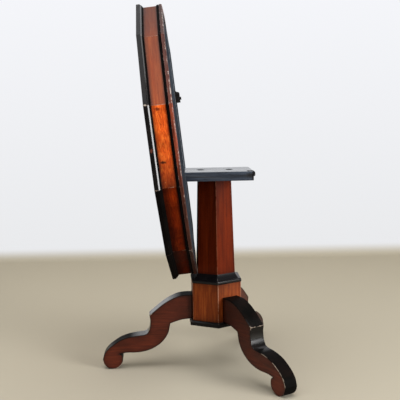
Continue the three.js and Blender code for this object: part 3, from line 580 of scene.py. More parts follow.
# The lip under the bead: solid wood, duller and darker, its lower arris pale along its length, as wear and as painted
# highlight
lipWood = polishedWood("mahogany, lip", {
    "dark": "3f160d", "middle": "70301f", "light": "93492f", "pore": "2c100a", "pores": 0.5, "figure": 0.3,
    "streakLength": 0.05, "streakWidth": 0.003, "roughness": 0.45, "coat": 0.05, "coatRoughness": 0.25,
    "specular": 0.22, "wear": 0.0006, "chip": 0.004, "bare": "c9bab2", "wearStrength": 0.6,
})
# The same veneer on the board's face, laid in twelve wedges with a satin sheen
topVeneer = polishedWood("mahogany veneer, top", {
    "dark": "6b2b12", "middle": "90431b", "light": "ae6230", "pore": "3c1708", "pores": 0.5, "figure": 0.25,
    "turn": (0, 0, math.pi / 2), "streakLength": 0.16, "streakWidth": 0.007, "wander": 0.8, "roughness": 0.55,
    "coat": 0.04, "coatRoughness": 0.4, "specular": 0.18, "wear": 0.0015, "chip": 0.006, "bare": "a8825c",
    "wearStrength": 0.4,
})
# Column and plinth veneer: darker and redder, grain upright
columnVeneer = polishedWood("mahogany veneer, column", {
    "dark": "521a07", "middle": "6a230a", "light": "7a2e0f", "pore": "360f07", "pores": 0.35, "figure": 0.26,
    "turn": (0, 0, math.pi / 2), "streakLength": 0.2, "streakWidth": 0.006, "roughness": 0.42, "coat": 0.0,
    "coatRoughness": 0.25, "specular": 0.035, "wear": 0.0006, "chip": 0.007, "bare": "9c6a50",
    "wearStrength": 0.22,
})
plinthVeneer = polishedWood("mahogany veneer, plinth", {
    "dark": "702c12", "middle": "91421a", "light": "a85624", "pore": "40170b", "pores": 0.4, "figure": 0.24,
    "turn": (0, 0, math.pi / 2), "streakLength": 0.1, "streakWidth": 0.006, "roughness": 0.42, "coat": 0.02,
    "coatRoughness": 0.25, "specular": 0.09, "wear": 0.0012, "chip": 0.007, "bare": "b0846a",
    "wearStrength": 0.5,
})
# Solid stained wood on the legs' flat sides: dark red-brown with a low sheen
legSide = polishedWood("stained mahogany, legs", {
    "dark": "40170b", "middle": "521f10", "light": "632814", "pore": "2c1008", "pores": 0.3, "figure": 0.22,
    "streakLength": 0.1, "streakWidth": 0.006, "roughness": 0.42, "coat": 0.05, "coatRoughness": 0.25,
    "specular": 0.2, "wear": 0.0022, "chip": 0.008, "bare": "c3ab97", "wearStrength": 0.6,
})
# The moulding round the plinth's foot: black with a soft sheen
ebonised = blackedWood("ebonised wood", {
    "black": "0e0d0d", "thin": "1b1512", "roughness": 0.36, "coat": 0.0, "coatRoughness": 0.2, "specular": 0.14,
    "wear": 0.0005, "chip": 0.006, "bare": "6f5c50", "wearStrength": 0.5, "bump": 0.15,
})
# The board's edge takes the knocks: black with pale arrises and three marks
ebonisedEdge = blackedWood("ebonised wood, board edge", {
    "black": "0d0c0d", "thin": "191412", "roughness": 0.34, "coat": 0.0, "coatRoughness": 0.2, "specular": 0.16,
    "wear": 0.0016, "chip": 0.005, "bare": "a4988c", "wearStrength": 0.7, "bump": 0.1,
    "marks": [
        ((-0.109, -0.4585, 0.7868), (1.3, 1, 0.7), 0.0052, "64362a"),
        ((-0.124, -0.4585, 0.9165), (0.7, 1, 1.5), 0.0036, "c0b2a4"),
        ((-0.0965, -0.4585, 0.6725), (0.6, 1, 1.6), 0.0034, "9c8878"),
    ],
})
# The collar still has some of its polish
ebonisedCollar = blackedWood("ebonised wood, collar", {
    "black": "0b0b0d", "thin": "141112", "roughness": 0.4, "coat": 0.35, "coatRoughness": 0.12, "specular": 0.08,
    "wear": 0.0005, "chip": 0.006, "bare": "5c5450", "wearStrength": 0.4, "bump": 0.1,
})
# Where the polish is gone the black is flat
ebonisedDull = blackedWood("ebonised wood, dulled", {
    "black": "070606", "thin": "0e0b0a", "roughness": 0.6, "coat": 0.0, "coatRoughness": 0.2, "specular": 0.02,
    "wear": 0.0003, "chip": 0.006, "bare": "5c4a3e", "wearStrength": 0.4, "bump": 0.15,
})
# Full polish on the shoulder of the ovolo, which catches the light in one thin line
ebonisedGloss = blackedWood("ebonised wood, polished moulding", {
    "black": "0e0d0d", "thin": "171210", "roughness": 0.2, "coat": 0.6, "coatRoughness": 0.05, "specular": 0.2,
    "wear": 0.0005, "chip": 0.006, "bare": "b9a595", "wearStrength": 0.7, "bump": 0,
})
# The legs' polish is rubbed away but for the hollow of the ankle: the coat follows the mesh's own "tone"
legBlack = blackedWood("ebonised wood, legs", {
    "black": "0c0b0a", "thin": "191210", "roughness": 0.42, "coatRoughness": 0.17, "specular": 0.01,
    "wear": 0.0014, "chip": 0.008, "bare": "c9b5a2", "wearStrength": 0.5, "bump": 0.08,
})
# The block: dark stained wood gone grey with handling, a satin surface
blockLook = {
    "dark": "23272f", "middle": "323945", "light": "454f5f", "pore": "121317", "pores": 0.5, "figure": 0.2,
    "uv": False, "streakLength": 0.16, "streakWidth": 0.007, "roughness": 0.3, "coat": 0.5,
    "coatRoughness": 0.14, "specular": 0.4,
    # black: a patch at the near corner of the end, and painted shade over the two sunk screw holes
    "marks": [
        ((0.203, -0.121, 0.687), (0.55, 0.6, 1.3), 0.012, "0b0b0d"),
        ((0.03575, 0, 0.7), (1, 0.4, 0.5), 0.0145, "060607"),
        ((0.13575, 0, 0.7), (1, 0.4, 0.5), 0.0145, "060607"),
    ],
}
stainedBlock = polishedWood("dark stained beech", blockLook)
# End grain drinks the stain: black and dull
blockEnd = polishedWood("dark stained beech, end grain", dict(
    blockLook, dark="0b0b0d", middle="101114", light="17191d", roughness=0.62, coat=0.0, specular=0.1,
))
# Bearers and rails: the same stain with less polish, grain along each
bearerLook = {
    "dark": "282d34", "middle": "353c46", "light": "454d58", "pore": "1a1d21", "pores": 0.5, "figure": 0.2,
    "uv": False, "turn": (0, math.radians(-84), 0), "streakLength": 0.2, "streakWidth": 0.008, "roughness": 0.36,
    "coat": 0.3, "coatRoughness": 0.2, "specular": 0.5,
}
stainedBearer = polishedWood("dark stained beech, bearers", bearerLook)
stainedRail = polishedWood("dark stained beech, rails", dict(bearerLook, turn=(0, 0, math.pi / 2)))
# The underside was never polished: brown-black and dry
stainedUnder = polishedWood("dark stained pine, underside", {
    "dark": "211e1d", "middle": "2e2a28", "light": "3d3733", "pore": "151312", "pores": 0.5, "figure": 0.2,
    "uv": False, "turn": (0, 0, math.pi / 2), "streakLength": 0.25, "streakWidth": 0.009, "roughness": 0.6,
    "coat": 0.0, "coatRoughness": 0.2, "specular": 0.3,
})
# Plates and catch are nearly black; the screws are brighter in their rubbed spots, the sunk ones nearly black
# and dull as painted shade in their holes; the end bumper takes the same dull iron
fittingIron = darkIron("blacked iron", {
    "dark": "161618", "rubbed": "38383b", "rust": "211c1a", "roughness": 0.5, "metallic": 0.8,
})
screwIron = darkIron("iron screws", {
    "dark": "1c1b1b", "rubbed": "6f6d6a", "rust": "30241e", "roughness": 0.4, "metallic": 0.95,
})
sunkIron = darkIron("iron screws, dirt-filled", {
    "dark": "0b0a0a", "rubbed": "1c1a19", "rust": "14100e", "roughness": 0.8, "metallic": 0.2,
})
print("finishes made")


topShape = {"sides": 12, "turn": -math.pi / 12, "rounding": 0.0012, "closed": True}
# Sides of the rim counted round from the one that faces +X in the closed top: the tipped top's low sides are
# dull and take painted shade, its high ones painted sheen
lowSides = [5, 6, 7, 8]
sheenSides = [10, 11, 0, 1, 2]

boardShape = {
    "apothem": 0.4585, "top": 0.754, "foot": 0.7414, "blackBand": 0.012, "bandLine": 0.001, "rounding": 0.0014,
    "middle": 0.004, "topRings": (0.3, 0.15), "underRing": 0.22, "underEdge": 0.02,
    "tones": (1, 0.93, 1.04, 0.96, 1.02, 0.9, 1.05, 0.97, 1.01, 0.94, 1.03, 0.98),
}


def makeBoard():
    # Under face, edge and top face in one profile; each wedge of veneer has its tone
    b = boardShape
    edge, band = b["apothem"], b["apothem"] - b["blackBand"]
    profile, arris = roundCorners([
        (b["middle"], b["foot"], 0),
        (b["underRing"], b["foot"], 0),
        (edge - b["underEdge"], b["foot"], 0),
        (edge, b["foot"], b["rounding"]),
        (edge, b["top"], b["rounding"]),
        (band, b["top"], 0),
        (band - b["bandLine"], b["top"], 0),
        *[(ring, b["top"], 0) for ring in b["topRings"]],
        (b["middle"], b["top"], 0),
    ])
    out, height = ((profile + np.roll(profile, -1, axis=0)) / 2).T
    onTop = (height > b["top"] - 1e-5) & (out < band - b["bandLine"] / 2)
    below = (height < b["foot"] + 1e-5) & (out < edge - b["underEdge"] / 2)
    polygonPiece(
        "board", dict(topShape, closed=False), profile, [ebonisedEdge, topVeneer, stainedUnder, ebonisedDull],
        tipped, "top", ["top_board"], arris=4 * arris, rowMaterial=np.where(onTop, 1, np.where(below, 2, 0)),
        tones=b["tones"], dulled=(lowSides, 3),
    )


ovoloShape = {
    "inner": 0.4468, "outer": 0.4566, "top": 0.7411, "foot": 0.7316, "shoulder": (0.4544, 0.7372),
    "shoulderRound": 0.0017, "fillet": 0.0006, "filletRound": 0.001, "dullBelow": 0.0002, "rounding": 0.0008,
}


def makeEdgeMoulding():
    # Under the board's edge: a nearly upright shoulder, then a quick turn in to the apron
    m = ovoloShape
    profile, _ = roundCorners([
        (m["inner"], m["foot"], 0),
        (m["inner"] + m["fillet"], m["foot"], m["filletRound"]),
        (*m["shoulder"], m["shoulderRound"]),
        (m["outer"], m["top"], 0),
        (m["inner"], m["top"], 0),
    ], steps=5)
    polygonPiece(
        "edge_moulding_ovolo", dict(topShape, rounding=m["rounding"]), profile, [ebonisedGloss, ebonisedDull],
        tipped, "top", ["edge_moulding"], rowMaterial=(profile[:, 1] < m["shoulder"][1] - m["dullBelow"]).astype(int),
        dulled=(lowSides, 1),
    )


beadShape = {"inner": 0.4468, "foot": 0.6813, "height": 0.008, "proud": 0.0036, "rounding": 0.0008}


def makeBead():
    # Half an ellipse standing on the apron
    b = beadShape
    angle = np.linspace(0, math.pi, 11)
    out, up = b["inner"] + b["proud"] * np.sin(angle), b["foot"] + b["height"] * (1 - np.cos(angle)) / 2
    polygonPiece(
        "rim_bead_round", dict(topShape, rounding=b["rounding"]), np.column_stack([out, up]), [ebonisedDull],
        tipped, "top", ["rim_bead"],
    )


apronShape = {
    "apothem": 0.4465, "thickness": 0.02, "top": 0.7411, "foot": 0.6705, "lipApothem": 0.451,
    "lipHeight": 0.0105, "bevel": 0.0022, "gap": 0.0002,
    "rounds": {"inner": 0.0006, "bevel": 0.0007, "step": 0.0008},
    # distances from a mitre, where the even steps between them end, and how many those are
    "near": (0, 0.0008, 0.002, 0.004, 0.008, 0.02), "evenFrom": 0.024, "evenSteps": 8,
    "nextSheet": 1.7,  # each board takes its veneer this much further along the sheet
    "lowArris": 0.0004,  # the low boards' arrises are this much less worn
    # how light each board is at its lower end, middle and upper end as the top stands: painted shade darkens
    # the low boards and painted light brightens the board that faces the lamp
    "tones": [
        (0.62, 0.64, 0.66), (0.7, 0.73, 0.75), (0.8, 0.83, 0.85), (0.9, 0.88, 0.86),
        (0.75, 0.72, 0.7), (0.6, 0.57, 0.55), (0.2, 0.22, 0.26), (0.12, 0.12, 0.13),
        (0.23, 0.3, 0.41), (0.32, 1.4, 1.62), (0.6, 0.58, 0.48), (0.34, 0.27, 0.23),
    ],
    # heights on the face and how much of the light colour is left there: painted shade under the moulding and
    # above the bead, and on the low boards painted shade over a third of their height
    "shadeAndGrime": (
        (0.6885, 0.6905, 0.693, 0.698, 0.719, 0.7245, 0.7298, 0.7316),
        (0.35, 0.5, 0.85, 1.0, 1.0, 0.75, 0.42, 0.25),
    ),
    "lowShade": (
        (0.6885, 0.6905, 0.693, 0.698, 0.708, 0.715, 0.7225, 0.7316),
        (0.25, 0.4, 0.7, 1.1, 1.15, 0.8, 0.4, 0.25),
    ),
}


def makeApronBoard(index):
    # The board's section carried along its side, cut off at both ends on the mitre
    a = apronShape
    low = index in lowSides
    # The low boards take the veneer with painted shade, the high ones the veneer with painted sheen
    veneer = apronSheen if index in sheenSides else apronShaded if low else apronVeneer
    inner, step = a["apothem"] - a["thickness"], a["foot"] + a["lipHeight"]
    rounds, shadeRows = a["rounds"], a["lowShade" if low else "shadeAndGrime"]
    profile, arris = roundCorners([
        (inner, a["foot"], rounds["inner"]),
        (a["lipApothem"] - a["bevel"], a["foot"], rounds["bevel"]),
        (a["lipApothem"], a["foot"] + a["bevel"], rounds["bevel"]),
        (a["lipApothem"], step, rounds["step"]),
        (a["apothem"], step, 0),
        *[(a["apothem"], height, 0) for height in shadeRows[0]],
        (a["apothem"], a["top"], 0),
        (inner, a["top"], 0),
    ], closed=True)
    onFace = np.abs(profile[:, 0] - a["apothem"]) < 1e-6
    shadeAndGrime = np.where(onFace, np.interp(profile[:, 1], *shadeRows), 1)
    near = np.array(a["near"])
    reach = (profile[:, 0] * math.tan(math.pi / 12) - a["gap"])[:, None]
    even = np.linspace(-1, 1, a["evenSteps"] + 1)[1:-1]
    along = np.hstack([near - reach, even * (reach - a["evenFrom"]), (reach - near)[:, ::-1]])
    rows, columns = along.shape
    x, y = spun(profile[:, :1], along, index * math.pi / 6)
    points = np.dstack([x, y, np.broadcast_to(profile[:, 1:], along.shape)]).reshape(-1, 3)
    u = along + index * a["nextSheet"]
    uNext = np.roll(u, -1, axis=0)
    starts, ends = (run[:, None] for run in runAlong(profile))
    uv = quadUv([u[:, :-1], u[:, 1:], uNext[:, 1:], uNext[:, :-1]], starts, ends)
    first = np.arange(rows) * columns
    faces = [gridQuads(rows, columns, rows, columns - 1), first[::-1][None], first[None] + columns - 1]
    outer, upper = np.maximum(profile, np.roll(profile, -1, axis=0)).T
    rowMaterial = np.where(outer < inner + a["thickness"] / 2, 2, upper < step + 1e-6)
    name = "apron_board_%02d" % (index + 1)
    # The tone carries each board's painted light and shade and its rows' painted shade
    putMesh(
        name + "_veneered", tipped(points), faces, np.vstack([uv, profile[::-1], profile]),
        [veneer, lipWood, stainedUnder], np.append(np.repeat(rowMaterial, columns - 1), [0, 0]), "top", [name],
        arris=np.minimum(np.where(onFace, 1.0, arris)[:, None], reach - np.abs(along)).ravel() + low * a["lowArris"],
        tone=(np.interp(along / reach, [-1, 0, 1], a["tones"][index]) * shadeAndGrime[:, None]).ravel(),
    )


makeBoard()
makeEdgeMoulding()
makeBead()
for index in range(topShape["sides"]):
    makeApronBoard(index)
print("top made")


flatShare = math.cos(math.pi / 6)  # a hexagon's flat stands this share of its radius from the axis
hexShape = {"sides": 6, "turn": -math.pi / 2, "rounding": 0.0016, "closed": False}

columnShape = {
    "topRadius": 0.0658, "footRadius": 0.0756, "top": 0.6694, "foot": 0.3396,
    "tones": (0.87, 1.02, 0.97, 1.0, 0.9, 0.77),
    # heights as shares and how much colour is left there: painted shade above the collar and under the block
    "shadeAndGrime": ((0, 0.02, 0.08, 0.8, 0.97, 1), (0.55, 0.8, 1, 1, 0.8, 0.6)),
}


def makeColumn():
    # A straight taper, with more rows near its ends, where painted shade darkens it under the block and above the
    # collar
    c = columnShape
    t = np.concatenate([[0, 0.008, 0.03, 0.08], np.linspace(0.2, 0.8, 5), [0.9, 0.95, 0.98, 1]])
    radius = c["footRadius"] + (c["topRadius"] - c["footRadius"]) * t
    profile = np.column_stack([radius * flatShare, c["foot"] + (c["top"] - c["foot"]) * t])
    polygonPiece(
        "column_veneered", hexShape, profile, [columnVeneer], based, "base", ["column"],
        tones=c["tones"], rowShade=np.interp(t, *c["shadeAndGrime"]),
    )


collarShape = {
    "foot": 0.3076, "top": 0.3396, "radius": 0.1004, "footRadius": 0.0965, "lipRadius": 0.0885,
    "columnRadius": 0.0756, "beadShare": 0.42, "clear": 0.0003, "dullSides": [4],
    # the hollow's rise and how far out it still stands, both as shares
    "hollow": ((0, 0.2, 0.45, 0.78, 1), (1, 0.744, 0.418, 0.132, 0.0)),
}


def makeCollar():
    # A half-round bead, a small flat, and a hollow that sweeps up to the column's foot
    c = collarShape
    beadTop = c["foot"] + (c["top"] - c["foot"]) * c["beadShare"]
    middle, rise = (c["foot"] + beadTop) / 2, (beadTop - c["foot"]) / 2
    angle = np.linspace(-math.pi / 2, math.pi / 2, 13)
    bead = np.column_stack([
        c["footRadius"] + (c["radius"] - c["footRadius"]) * np.cos(angle),
        middle + rise * np.sin(angle),
    ])
    t = np.linspace(0, 1, 12)
    share = np.interp(t, *c["hollow"])
    hollow = np.column_stack([
        c["columnRadius"] + c["clear"] + (c["lipRadius"] - c["columnRadius"]) * share,
        beadTop + (c["top"] - beadTop) * t,
    ])
    profile = np.vstack([bead, hollow])
    arris = np.full(len(profile), 1.0)
    arris[len(bead)] = 0  # the sharp edge where the hollow starts
    profile[:, 0] *= flatShare
    polygonPiece(
        "collar_moulded", hexShape, profile, [ebonisedCollar, ebonisedDull], based, "base", ["collar"],
        arris=arris, dulled=(c["dullSides"], 1),
    )


plinthShape = {
    "radius": 0.0979, "foot": 0.161975, "top": 0.3076, "tones": (0.78, 0.9, 0.97, 1.0, 1.0, 1.0),
    # heights as shares and how much colour is left there: painted shade above the base moulding and under the collar
    "shadeAndGrime": ((0.09, 0.12, 0.25, 0.75, 0.95, 1), (0.5, 0.7, 1, 1, 0.75, 0.55)),
}


def makePlinth():
    # A straight drum, with more rows near its ends, where painted shade darkens it under the collar and above the base
    # moulding
    p = plinthShape
    t = np.concatenate([[0, 0.1, 0.13, 0.18], np.linspace(0.3, 0.8, 4), [0.9, 0.96, 1]])
    profile = np.column_stack([np.full(len(t), p["radius"] * flatShare), p["foot"] + (p["top"] - p["foot"]) * t])
    polygonPiece(
        "plinth_veneered", hexShape, profile, [plinthVeneer], based, "base", ["plinth"],
        tones=p["tones"], rowShade=np.interp(t, *p["shadeAndGrime"]),
    )


baseMouldingShape = {
    "radius": 0.1095, "inner": 0.0982, "foot": 0.157975, "top": 0.174975, "bevel": 0.005,
    "footRound": 0.003, "topRound": 0.002,
}


def makeBaseMoulding():
    # An upright face with a bevel on top, its corners rounded
    b = baseMouldingShape
    outer, inner = b["radius"] * flatShare, b["inner"] * flatShare
    profile, arris = roundCorners([
        (inner, b["foot"], 0),
        (outer, b["foot"], b["footRound"]),
        (outer, b["top"] - b["bevel"], b["topRound"]),
        (outer - b["bevel"], b["top"], b["topRound"]),
        (inner, b["top"], 0),
    ])
    polygonPiece(
        "base_moulding_run", dict(hexShape, closed=True), profile, [ebonised], based, "base", ["base_moulding"],
        arris=arris,
    )


makeColumn()
makeCollar()
makePlinth()
makeBaseMoulding()
print("base made")


legShape = {
    "reach": 0.407, "shoulder": 0.261, "face": 0.0979 * flatShare + 0.0003, "rootFoot": 0.176175,
    "thickness": 0.049, "rootThickness": 0.0615, "rounding": 0.0014, "scroll": 0.0355, "notch": 0.018,
    "notchShare": 0.75,  # how far along the notch lies, as a share of its height above the scroll
    # distances in from the flat side at which the band between the sides has a row
    "bandRows": (0.004, 0.009), "support": 0.0006,
    # how the wear and the tone run: the arris spared outside the rubbed places, where the painted light and
    # shade start to change along the leg, how dark it is near an arris, and how the polish fades out
    "sparedArris": 0.004, "toneFrom": 0.1, "arrisDark": ((0.0006, 0.003, 0.009), (0.3, 0.5, 1)),
    "polishFade": ((0.4, 1), (1, 0)),
}
# Places on the outline as shares of the reach and of the shoulder's height
legTop = [(0.3141, 0.992), (0.3959, 0.946), (0.4665, 0.881), (0.5312, 0.801), (0.5872, 0.73)]
legAnkle = [legTop[-1], (0.5796, 0.662), (0.5817, 0.595), (0.5907, 0.53), (0.6089, 0.484), (0.6362, 0.463)]
legToe = [legAnkle[-1], (0.7069, 0.452), (0.7725, 0.434), (0.8382, 0.4), (0.893, 0.35), (0.945, 0.29), (0.983, 0.218)]
legSole = [
    (0.7867, 0.222), (0.715, 0.22), (0.6433, 0.231), (0.5685, 0.267), (0.5029, 0.328),
    (0.4544, 0.404), (0.4251, 0.487), (0.4125, 0.56), (0.4054, 0.613),
]
legSpandrel = [legSole[-1], (0.3514, 0.64), (0.2999, 0.661)]
# Each leg's direction, how light its side is at root and toe (painted light and shade: darker where the
# side stands in shade), where knocks have rubbed the arrises (along, up, radius) and where the outer face has
# kept its polish (along, up, radius, amount)
frontPolish = [(0.24, 0.136, 0.052, 0.68), (0.235, 0.19, 0.04, 0.4)]
legs = {
    "leg_left": {
        "angle": math.pi, "tones": (0.85, 1.1), "rubbed": [(0.375, 0.01, 0.035), (0.24, 0.19, 0.012)],
        "polished": [(0.2, 0.22, 0.085, 1.0), (0.25, 0.125, 0.06, 0.9), (0.4, 0.06, 0.05, 0.3)],
    },
    "leg_front": {
        "angle": -math.pi / 3, "tones": (0.6, 1.5), "rubbed": [(0.365, 0.06, 0.085), (0.24, 0.19, 0.008)],
        "polished": frontPolish,
    },
    "leg_rear": {
        "angle": math.pi / 3, "tones": (1.0, 0.25), "rubbed": [(0.38, 0.05, 0.06), (0.24, 0.19, 0.008)],
        "polished": frontPolish,
    },
}


def onLeg(shares):
    # Shares of the reach and the shoulder's height as places in the leg's plane
    return np.array(shares) * (legShape["reach"], legShape["shoulder"])


def smoothLine(places, steps):
    # A cubic through the places, whose slope at each is half the step between its neighbours
    p = np.vstack(places)
    padded = np.vstack([p[:1], p, p[-1:]])
    t = np.linspace(0, 1, steps + 1)[1:][None, :, None]
    a, b, c, d = (padded[k : len(p) - 1 + k][:, None] for k in range(4))
    slopeB, slopeC = (c - a) / 2, (d - b) / 2
    line = (2 * b - 2 * c + slopeB + slopeC) * t**3 + (3 * c - 3 * b - 2 * slopeB - slopeC) * t**2 + slopeB * t + b
    return line.reshape(-1, 2)


def legOutline():
    # Shoulder, knee, ankle, toe, scroll, sole and spandrel, once round
    s = legShape
    scrollRadius = s["scroll"]
    shoulder = (s["face"], s["shoulder"])
    top = smoothLine([shoulder, onLeg(legTop)], 8)
    ankle = smoothLine(onLeg(legAnkle), 6)
    toe = smoothLine([onLeg(legToe), (s["reach"], scrollRadius)], 8)
    centre = s["reach"] - scrollRadius
    turn = np.linspace(0, -math.pi, 37)[1:]
    scroll = np.column_stack([centre + scrollRadius * np.cos(turn), scrollRadius + scrollRadius * np.sin(turn)])
    back = centre - scrollRadius
    notch = np.array([back + s["notch"] * s["notchShare"], scrollRadius + s["notch"]])
    t = np.linspace(0, 1, 11)[1:, None]
    curl = (1 - t) ** 2 * scroll[-1] + 2 * t * (1 - t) * np.array([back, notch[1]]) + t**2 * notch
    sole = smoothLine([notch, onLeg(legSole)], 8)
    spandrel = smoothLine([onLeg(legSpandrel), (s["face"], s["rootFoot"])], 5)
    line = np.vstack([shoulder, top, ankle, toe, scroll, curl, sole, spandrel])
    return line[::-1]  # counter-clockwise with the thickness along -Y of the leg's own frame


def stoodUp(points, angle):
    # The leg's plane stood upright, thicker toward the root, and turned to its direction
    s = legShape
    out = points[:, 0]
    widening = (s["rootThickness"] / s["thickness"] - 1) * (s["reach"] - out) / (s["reach"] - s["face"])
    x, y = spun(out, -points[:, 2] * (1 + widening), angle)
    return based(np.column_stack([x, y, points[:, 1]]))


def makeLeg(name, own):
    # The outline given thickness: a band that follows it and rolls over the arris by a quarter circle to a
    # flat face on each side
    s = legShape
    outline = legOutline()
    ahead = alongLine(outline)
    outward = np.column_stack([ahead[:, 1], -ahead[:, 0]])
    half, radius = s["thickness"] / 2, s["rounding"]
    turn = np.linspace(0, math.pi / 2, 4)
    rolled, lifted = radius * (1 - np.sin(turn)), half - radius + radius * np.cos(turn)
    level = np.array([half - radius - s["support"], *[half - row for row in s["bandRows"]], 0])
    height = np.concatenate([-lifted, -level, level[:-1][::-1], lifted[::-1]])
    inset = np.concatenate([rolled, np.zeros(2 * len(level) - 1), rolled[::-1]])
    around = outline[None] - outward[None] * inset[:, None, None]
    rows, columns = around.shape[:2]
    band = np.dstack([around, np.broadcast_to(height[:, None], (rows, columns))]).reshape(-1, 3)
    quads = gridQuads(rows, columns, rows - 1, columns)
    starts, ends = (run[None] for run in runAlong(outline))
    uv = quadUv([starts, ends, ends, starts], height[:-1, None], height[1:, None])
    cap, triangles = flatCap(around[0], radius)
    inner = cap[columns:]
    ring, extra = np.arange(columns), rows * columns + np.arange(len(inner))
    lowIndex, highIndex = np.append(ring, extra), np.append(ring + (rows - 1) * columns, extra + len(inner))
    sides = [np.column_stack([inner[:, :2], np.full(len(inner), z)]) for z in (-half, half)]
    # The knee is an arris too, across the band
    kneeGap = np.linalg.norm(outline - onLeg(legTop[-1]), axis=1)
    bandGap = np.minimum((half - np.abs(height))[:, None], kneeGap[None]).ravel()
    gap = np.concatenate([bandGap, inner[:, 2], inner[:, 2]])
    flat = np.vstack([np.tile(outline, (rows, 1)), inner[:, :2], inner[:, :2]])
    spared = np.min([np.linalg.norm(flat - at, axis=1) / reach for *at, reach in own["rubbed"]], axis=0)
    # The side's tone from root to toe is painted light and shade
    root, toe = own["tones"]
    share = np.clip((flat[:, 0] - s["toneFrom"]) / (s["reach"] - s["toneFrom"]), 0, 1)
    tone = (root + (toe - root) * share) * np.interp(gap, *s["arrisDark"])
    # Between the sides the tone is the polish left, by the distance from each polished place
    left = [
        most * np.interp(np.linalg.norm(outline - at, axis=1) / reach, *s["polishFade"])
        for *at, reach, most in own["polished"]
    ]
    tone[columns : (rows - 1) * columns] = np.tile(np.max(left, axis=0), rows - 2)
    putMesh(
        name, stoodUp(np.vstack([band, *sides]), own["angle"]),
        [quads, lowIndex[triangles][:, ::-1], highIndex[triangles]],
        np.vstack([uv, cap[triangles[:, ::-1].ravel(), :2], cap[triangles.ravel(), :2]]),
        [legSide, legBlack], np.repeat([1, 0], [len(quads), 2 * len(triangles)]), "base", [name],
        arris=gap + s["sparedArris"] * np.clip(spared - 1, 0, 1),
        tone=tone,
    )


for name, own in legs.items():
    makeLeg(name, own)
print("legs made")


# Each plain solid's finish, the width that its edges are eased by, its body and the finish of its ends
easedPieces = {
    "tilt_block": (stainedBlock, 0.0005, "base", blockEnd),
    "end_bumper": (sunkIron, 0.0006, "base"),
    "strike_plate": (fittingIron, 0.0004, "base"),
    "base_plate": (fittingIron, 0.0004, "base"),
    "bearer_front": (stainedBearer, 0.001, "top"),
    "bearer_rear": (stainedBearer, 0.001, "top"),
    "seat_rail_back": (stainedRail, 0.001, "top"),
    "seat_rail_fore": (stainedRail, 0.001, "top"),
    "catch_rail": (stainedRail, 0.001, "top"),
    "catch_case": (fittingIron, 0.0005, "top"),
    "catch_bolt": (fittingIron, 0.0004, "bolt"),
    "catch_knob": (fittingIron, 0.0003, "bolt"),
    "pivot_pin_front": (screwIron, 0.0004, "top"),
    "pivot_pin_rear": (screwIron, 0.0004, "top"),
}
screwEasing = 0.0002
for name, settings in easedPieces.items():
    softened(name, *settings)
for name in nodes.keys():
    if "screw" in name:
        iron = sunkIron if name.startswith("block") else screwIron
        softened(name, iron, screwEasing, "top" if name.startswith(("bearer", "catch")) else "base")
print("fittings made")


stageLook = {
    "floor": "b7af9d", "wallLow": "e9eaec", "wallHigh": "f5f6fa", "width": 12.0, "front": -6.0, "wallAt": 2.1,
    "sweep": 0.18, "wallTop": 4.5, "shadeHeight": 1.7, "blendFrom": 0.004, "blendTo": 0.07,
}


def makeStage():
    # Floor that sweeps up into a backdrop: a flat run, a quarter circle and an upright run. Paper where light
    # falls on it, and above the floor an even glow to the camera and in reflections.
    s = stageLook
    turn = np.linspace(0, math.pi / 2, 14)
    y = np.concatenate([[s["front"]], s["wallAt"] - s["sweep"] + s["sweep"] * np.sin(turn), [s["wallAt"]]])
    z = np.concatenate([[0.0], s["sweep"] * (1 - np.cos(turn)), [s["wallTop"]]])
    x = np.array([-s["width"], s["width"]]) / 2
    points = np.dstack(np.broadcast_arrays(x[None], y[:, None], z[:, None])).reshape(-1, 3)
    faces = gridQuads(len(y), 2, len(y) - 1, 1)
    mesh = bpy.data.meshes.new("stage")
    mesh.from_pydata(points.tolist(), [], faces.tolist())
    mesh.polygons.foreach_set("use_smooth", np.ones(len(faces), bool))
    material, tree = blankMaterial("painted paper sweep")
    coords = addNode(tree, "ShaderNodeTexCoord").outputs["Object"]
    height = addNode(tree, "ShaderNodeSeparateXYZ", {}, {"Vector": coords}).outputs["Z"]
    rise = addNode(tree, "ShaderNodeMapRange", {"From Max": s["shadeHeight"]}, {"Value": height}).outputs["Result"]
    wall = addNode(
        tree, "ShaderNodeMix", {6: linear(s["wallLow"]), 7: linear(s["wallHigh"])}, {0: rise}, data_type="RGBA"
    ).outputs[2]
    glow = addNode(tree, "ShaderNodeEmission", {"Strength": 1}, {"Color": wall}).outputs["Emission"]
    paper = addNode(
        tree, "ShaderNodeBsdfPrincipled",
        {"Base Color": linear(s["floor"]), "Roughness": 0.9, "Specular IOR Level": 0.2},
    ).outputs["BSDF"]
    ramp = addNode(
        tree, "ShaderNodeMapRange", {"From Min": s["blendFrom"], "From Max": s["blendTo"]}, {"Value": height},
        interpolation_type="SMOOTHSTEP",
    ).outputs["Result"]
    path = addNode(tree, "ShaderNodeLightPath").outputs
    seen = path["Is Camera Ray"]
    for ray in ("Is Glossy Ray", "Is Transmission Ray"):
        seen = addNode(tree, "ShaderNodeMath", {}, {0: seen, 1: path[ray]}, operation="MAXIMUM").outputs["Value"]
    share = addNode(tree, "ShaderNodeMath", {}, {0: seen, 1: ramp}, operation="MULTIPLY").outputs["Value"]
    both = addNode(tree, "ShaderNodeMixShader", {}, {0: share, 1: paper, 2: glow}).outputs["Shader"]
    # Clear from behind, so that the object shows from every side
    back = addNode(tree, "ShaderNodeNewGeometry").outputs["Backfacing"]
    clear = addNode(tree, "ShaderNodeBsdfTransparent").outputs["BSDF"]
    both = addNode(tree, "ShaderNodeMixShader", {}, {0: back, 1: both, 2: clear}).outputs["Shader"]
    addNode(tree, "ShaderNodeOutputMaterial", {}, {"Surface": both})
    mesh.materials.append(material)
    linkObject("stage", mesh)


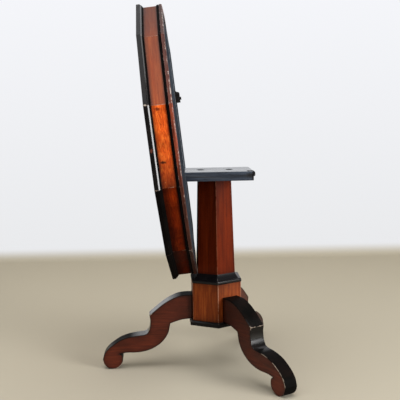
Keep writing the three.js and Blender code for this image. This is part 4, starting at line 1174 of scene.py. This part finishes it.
lamps = {
    "overhead": {"at": (-0.9, -0.8, 3.6), "to": (-0.9, -0.4, 0.0), "size": (5.5, 3.4), "watts": 158},
    "key": {"at": (3.5, -2.5, 1.25), "to": (0.0, 0.0, 0.7), "size": (1.9, 2.0), "watts": 195},
}


def makeLamps():
    # Soft rectangles, each turned from its place to what it lights
    for name, lamp in lamps.items():
        data = bpy.data.lights.new(name, "AREA")
        data.shape = "RECTANGLE"
        data.size, data.size_y = lamp["size"]
        data.energy = lamp["watts"]
        aim = Vector(lamp["to"]) - Vector(lamp["at"])
        turned = aim.to_track_quat("-Z", "Y").to_matrix().to_4x4()
        linkObject(name, data).matrix_world = Matrix.Translation(lamp["at"]) @ turned


skyLook = {"colour": "f1f3f6", "strength": 0.2}


def makeWorld():
    # A faint even light from all round
    world = bpy.data.worlds.new("soft room light")
    bpy.context.scene.world = world
    world.use_nodes = True
    tree = world.node_tree
    tree.nodes.clear()
    sky = addNode(
        tree, "ShaderNodeBackground", {"Color": linear(skyLook["colour"]), "Strength": skyLook["strength"]}
    )
    addNode(tree, "ShaderNodeOutputWorld", {}, {"Surface": sky.outputs["Background"]})


# The photograph's own view: where the camera stands, and its right, up and forward directions
cameraView = {
    "at": (0.004671, -2.458190, 0.866393),
    "right": (0.99976077, -0.0131445, -0.01748239),
    "up": (0.01882488, 0.11011582, 0.99374047),
    "forward": (0.01113713, 0.99383184, -0.11033692),
    "lens": 63.067,
}


def makeCamera():
    # A camera looks along its own -Z, so its axes are right, up and the opposite of forward
    c = cameraView
    data = bpy.data.cameras.new("camera")
    data.lens, data.sensor_width, data.sensor_fit = c["lens"], 36, "AUTO"
    data.clip_start, data.clip_end = 0.05, 50
    axes = Matrix((c["right"], c["up"], tuple(-v for v in c["forward"]))).transposed()
    obj = linkObject("camera", data)
    obj.matrix_world = Matrix.Translation(c["at"]) @ axes.to_4x4()
    bpy.context.scene.camera = obj


makeStage()
makeLamps()
makeWorld()
makeCamera()
bpy.context.scene.view_settings.view_transform = "Standard"
print("stage made")
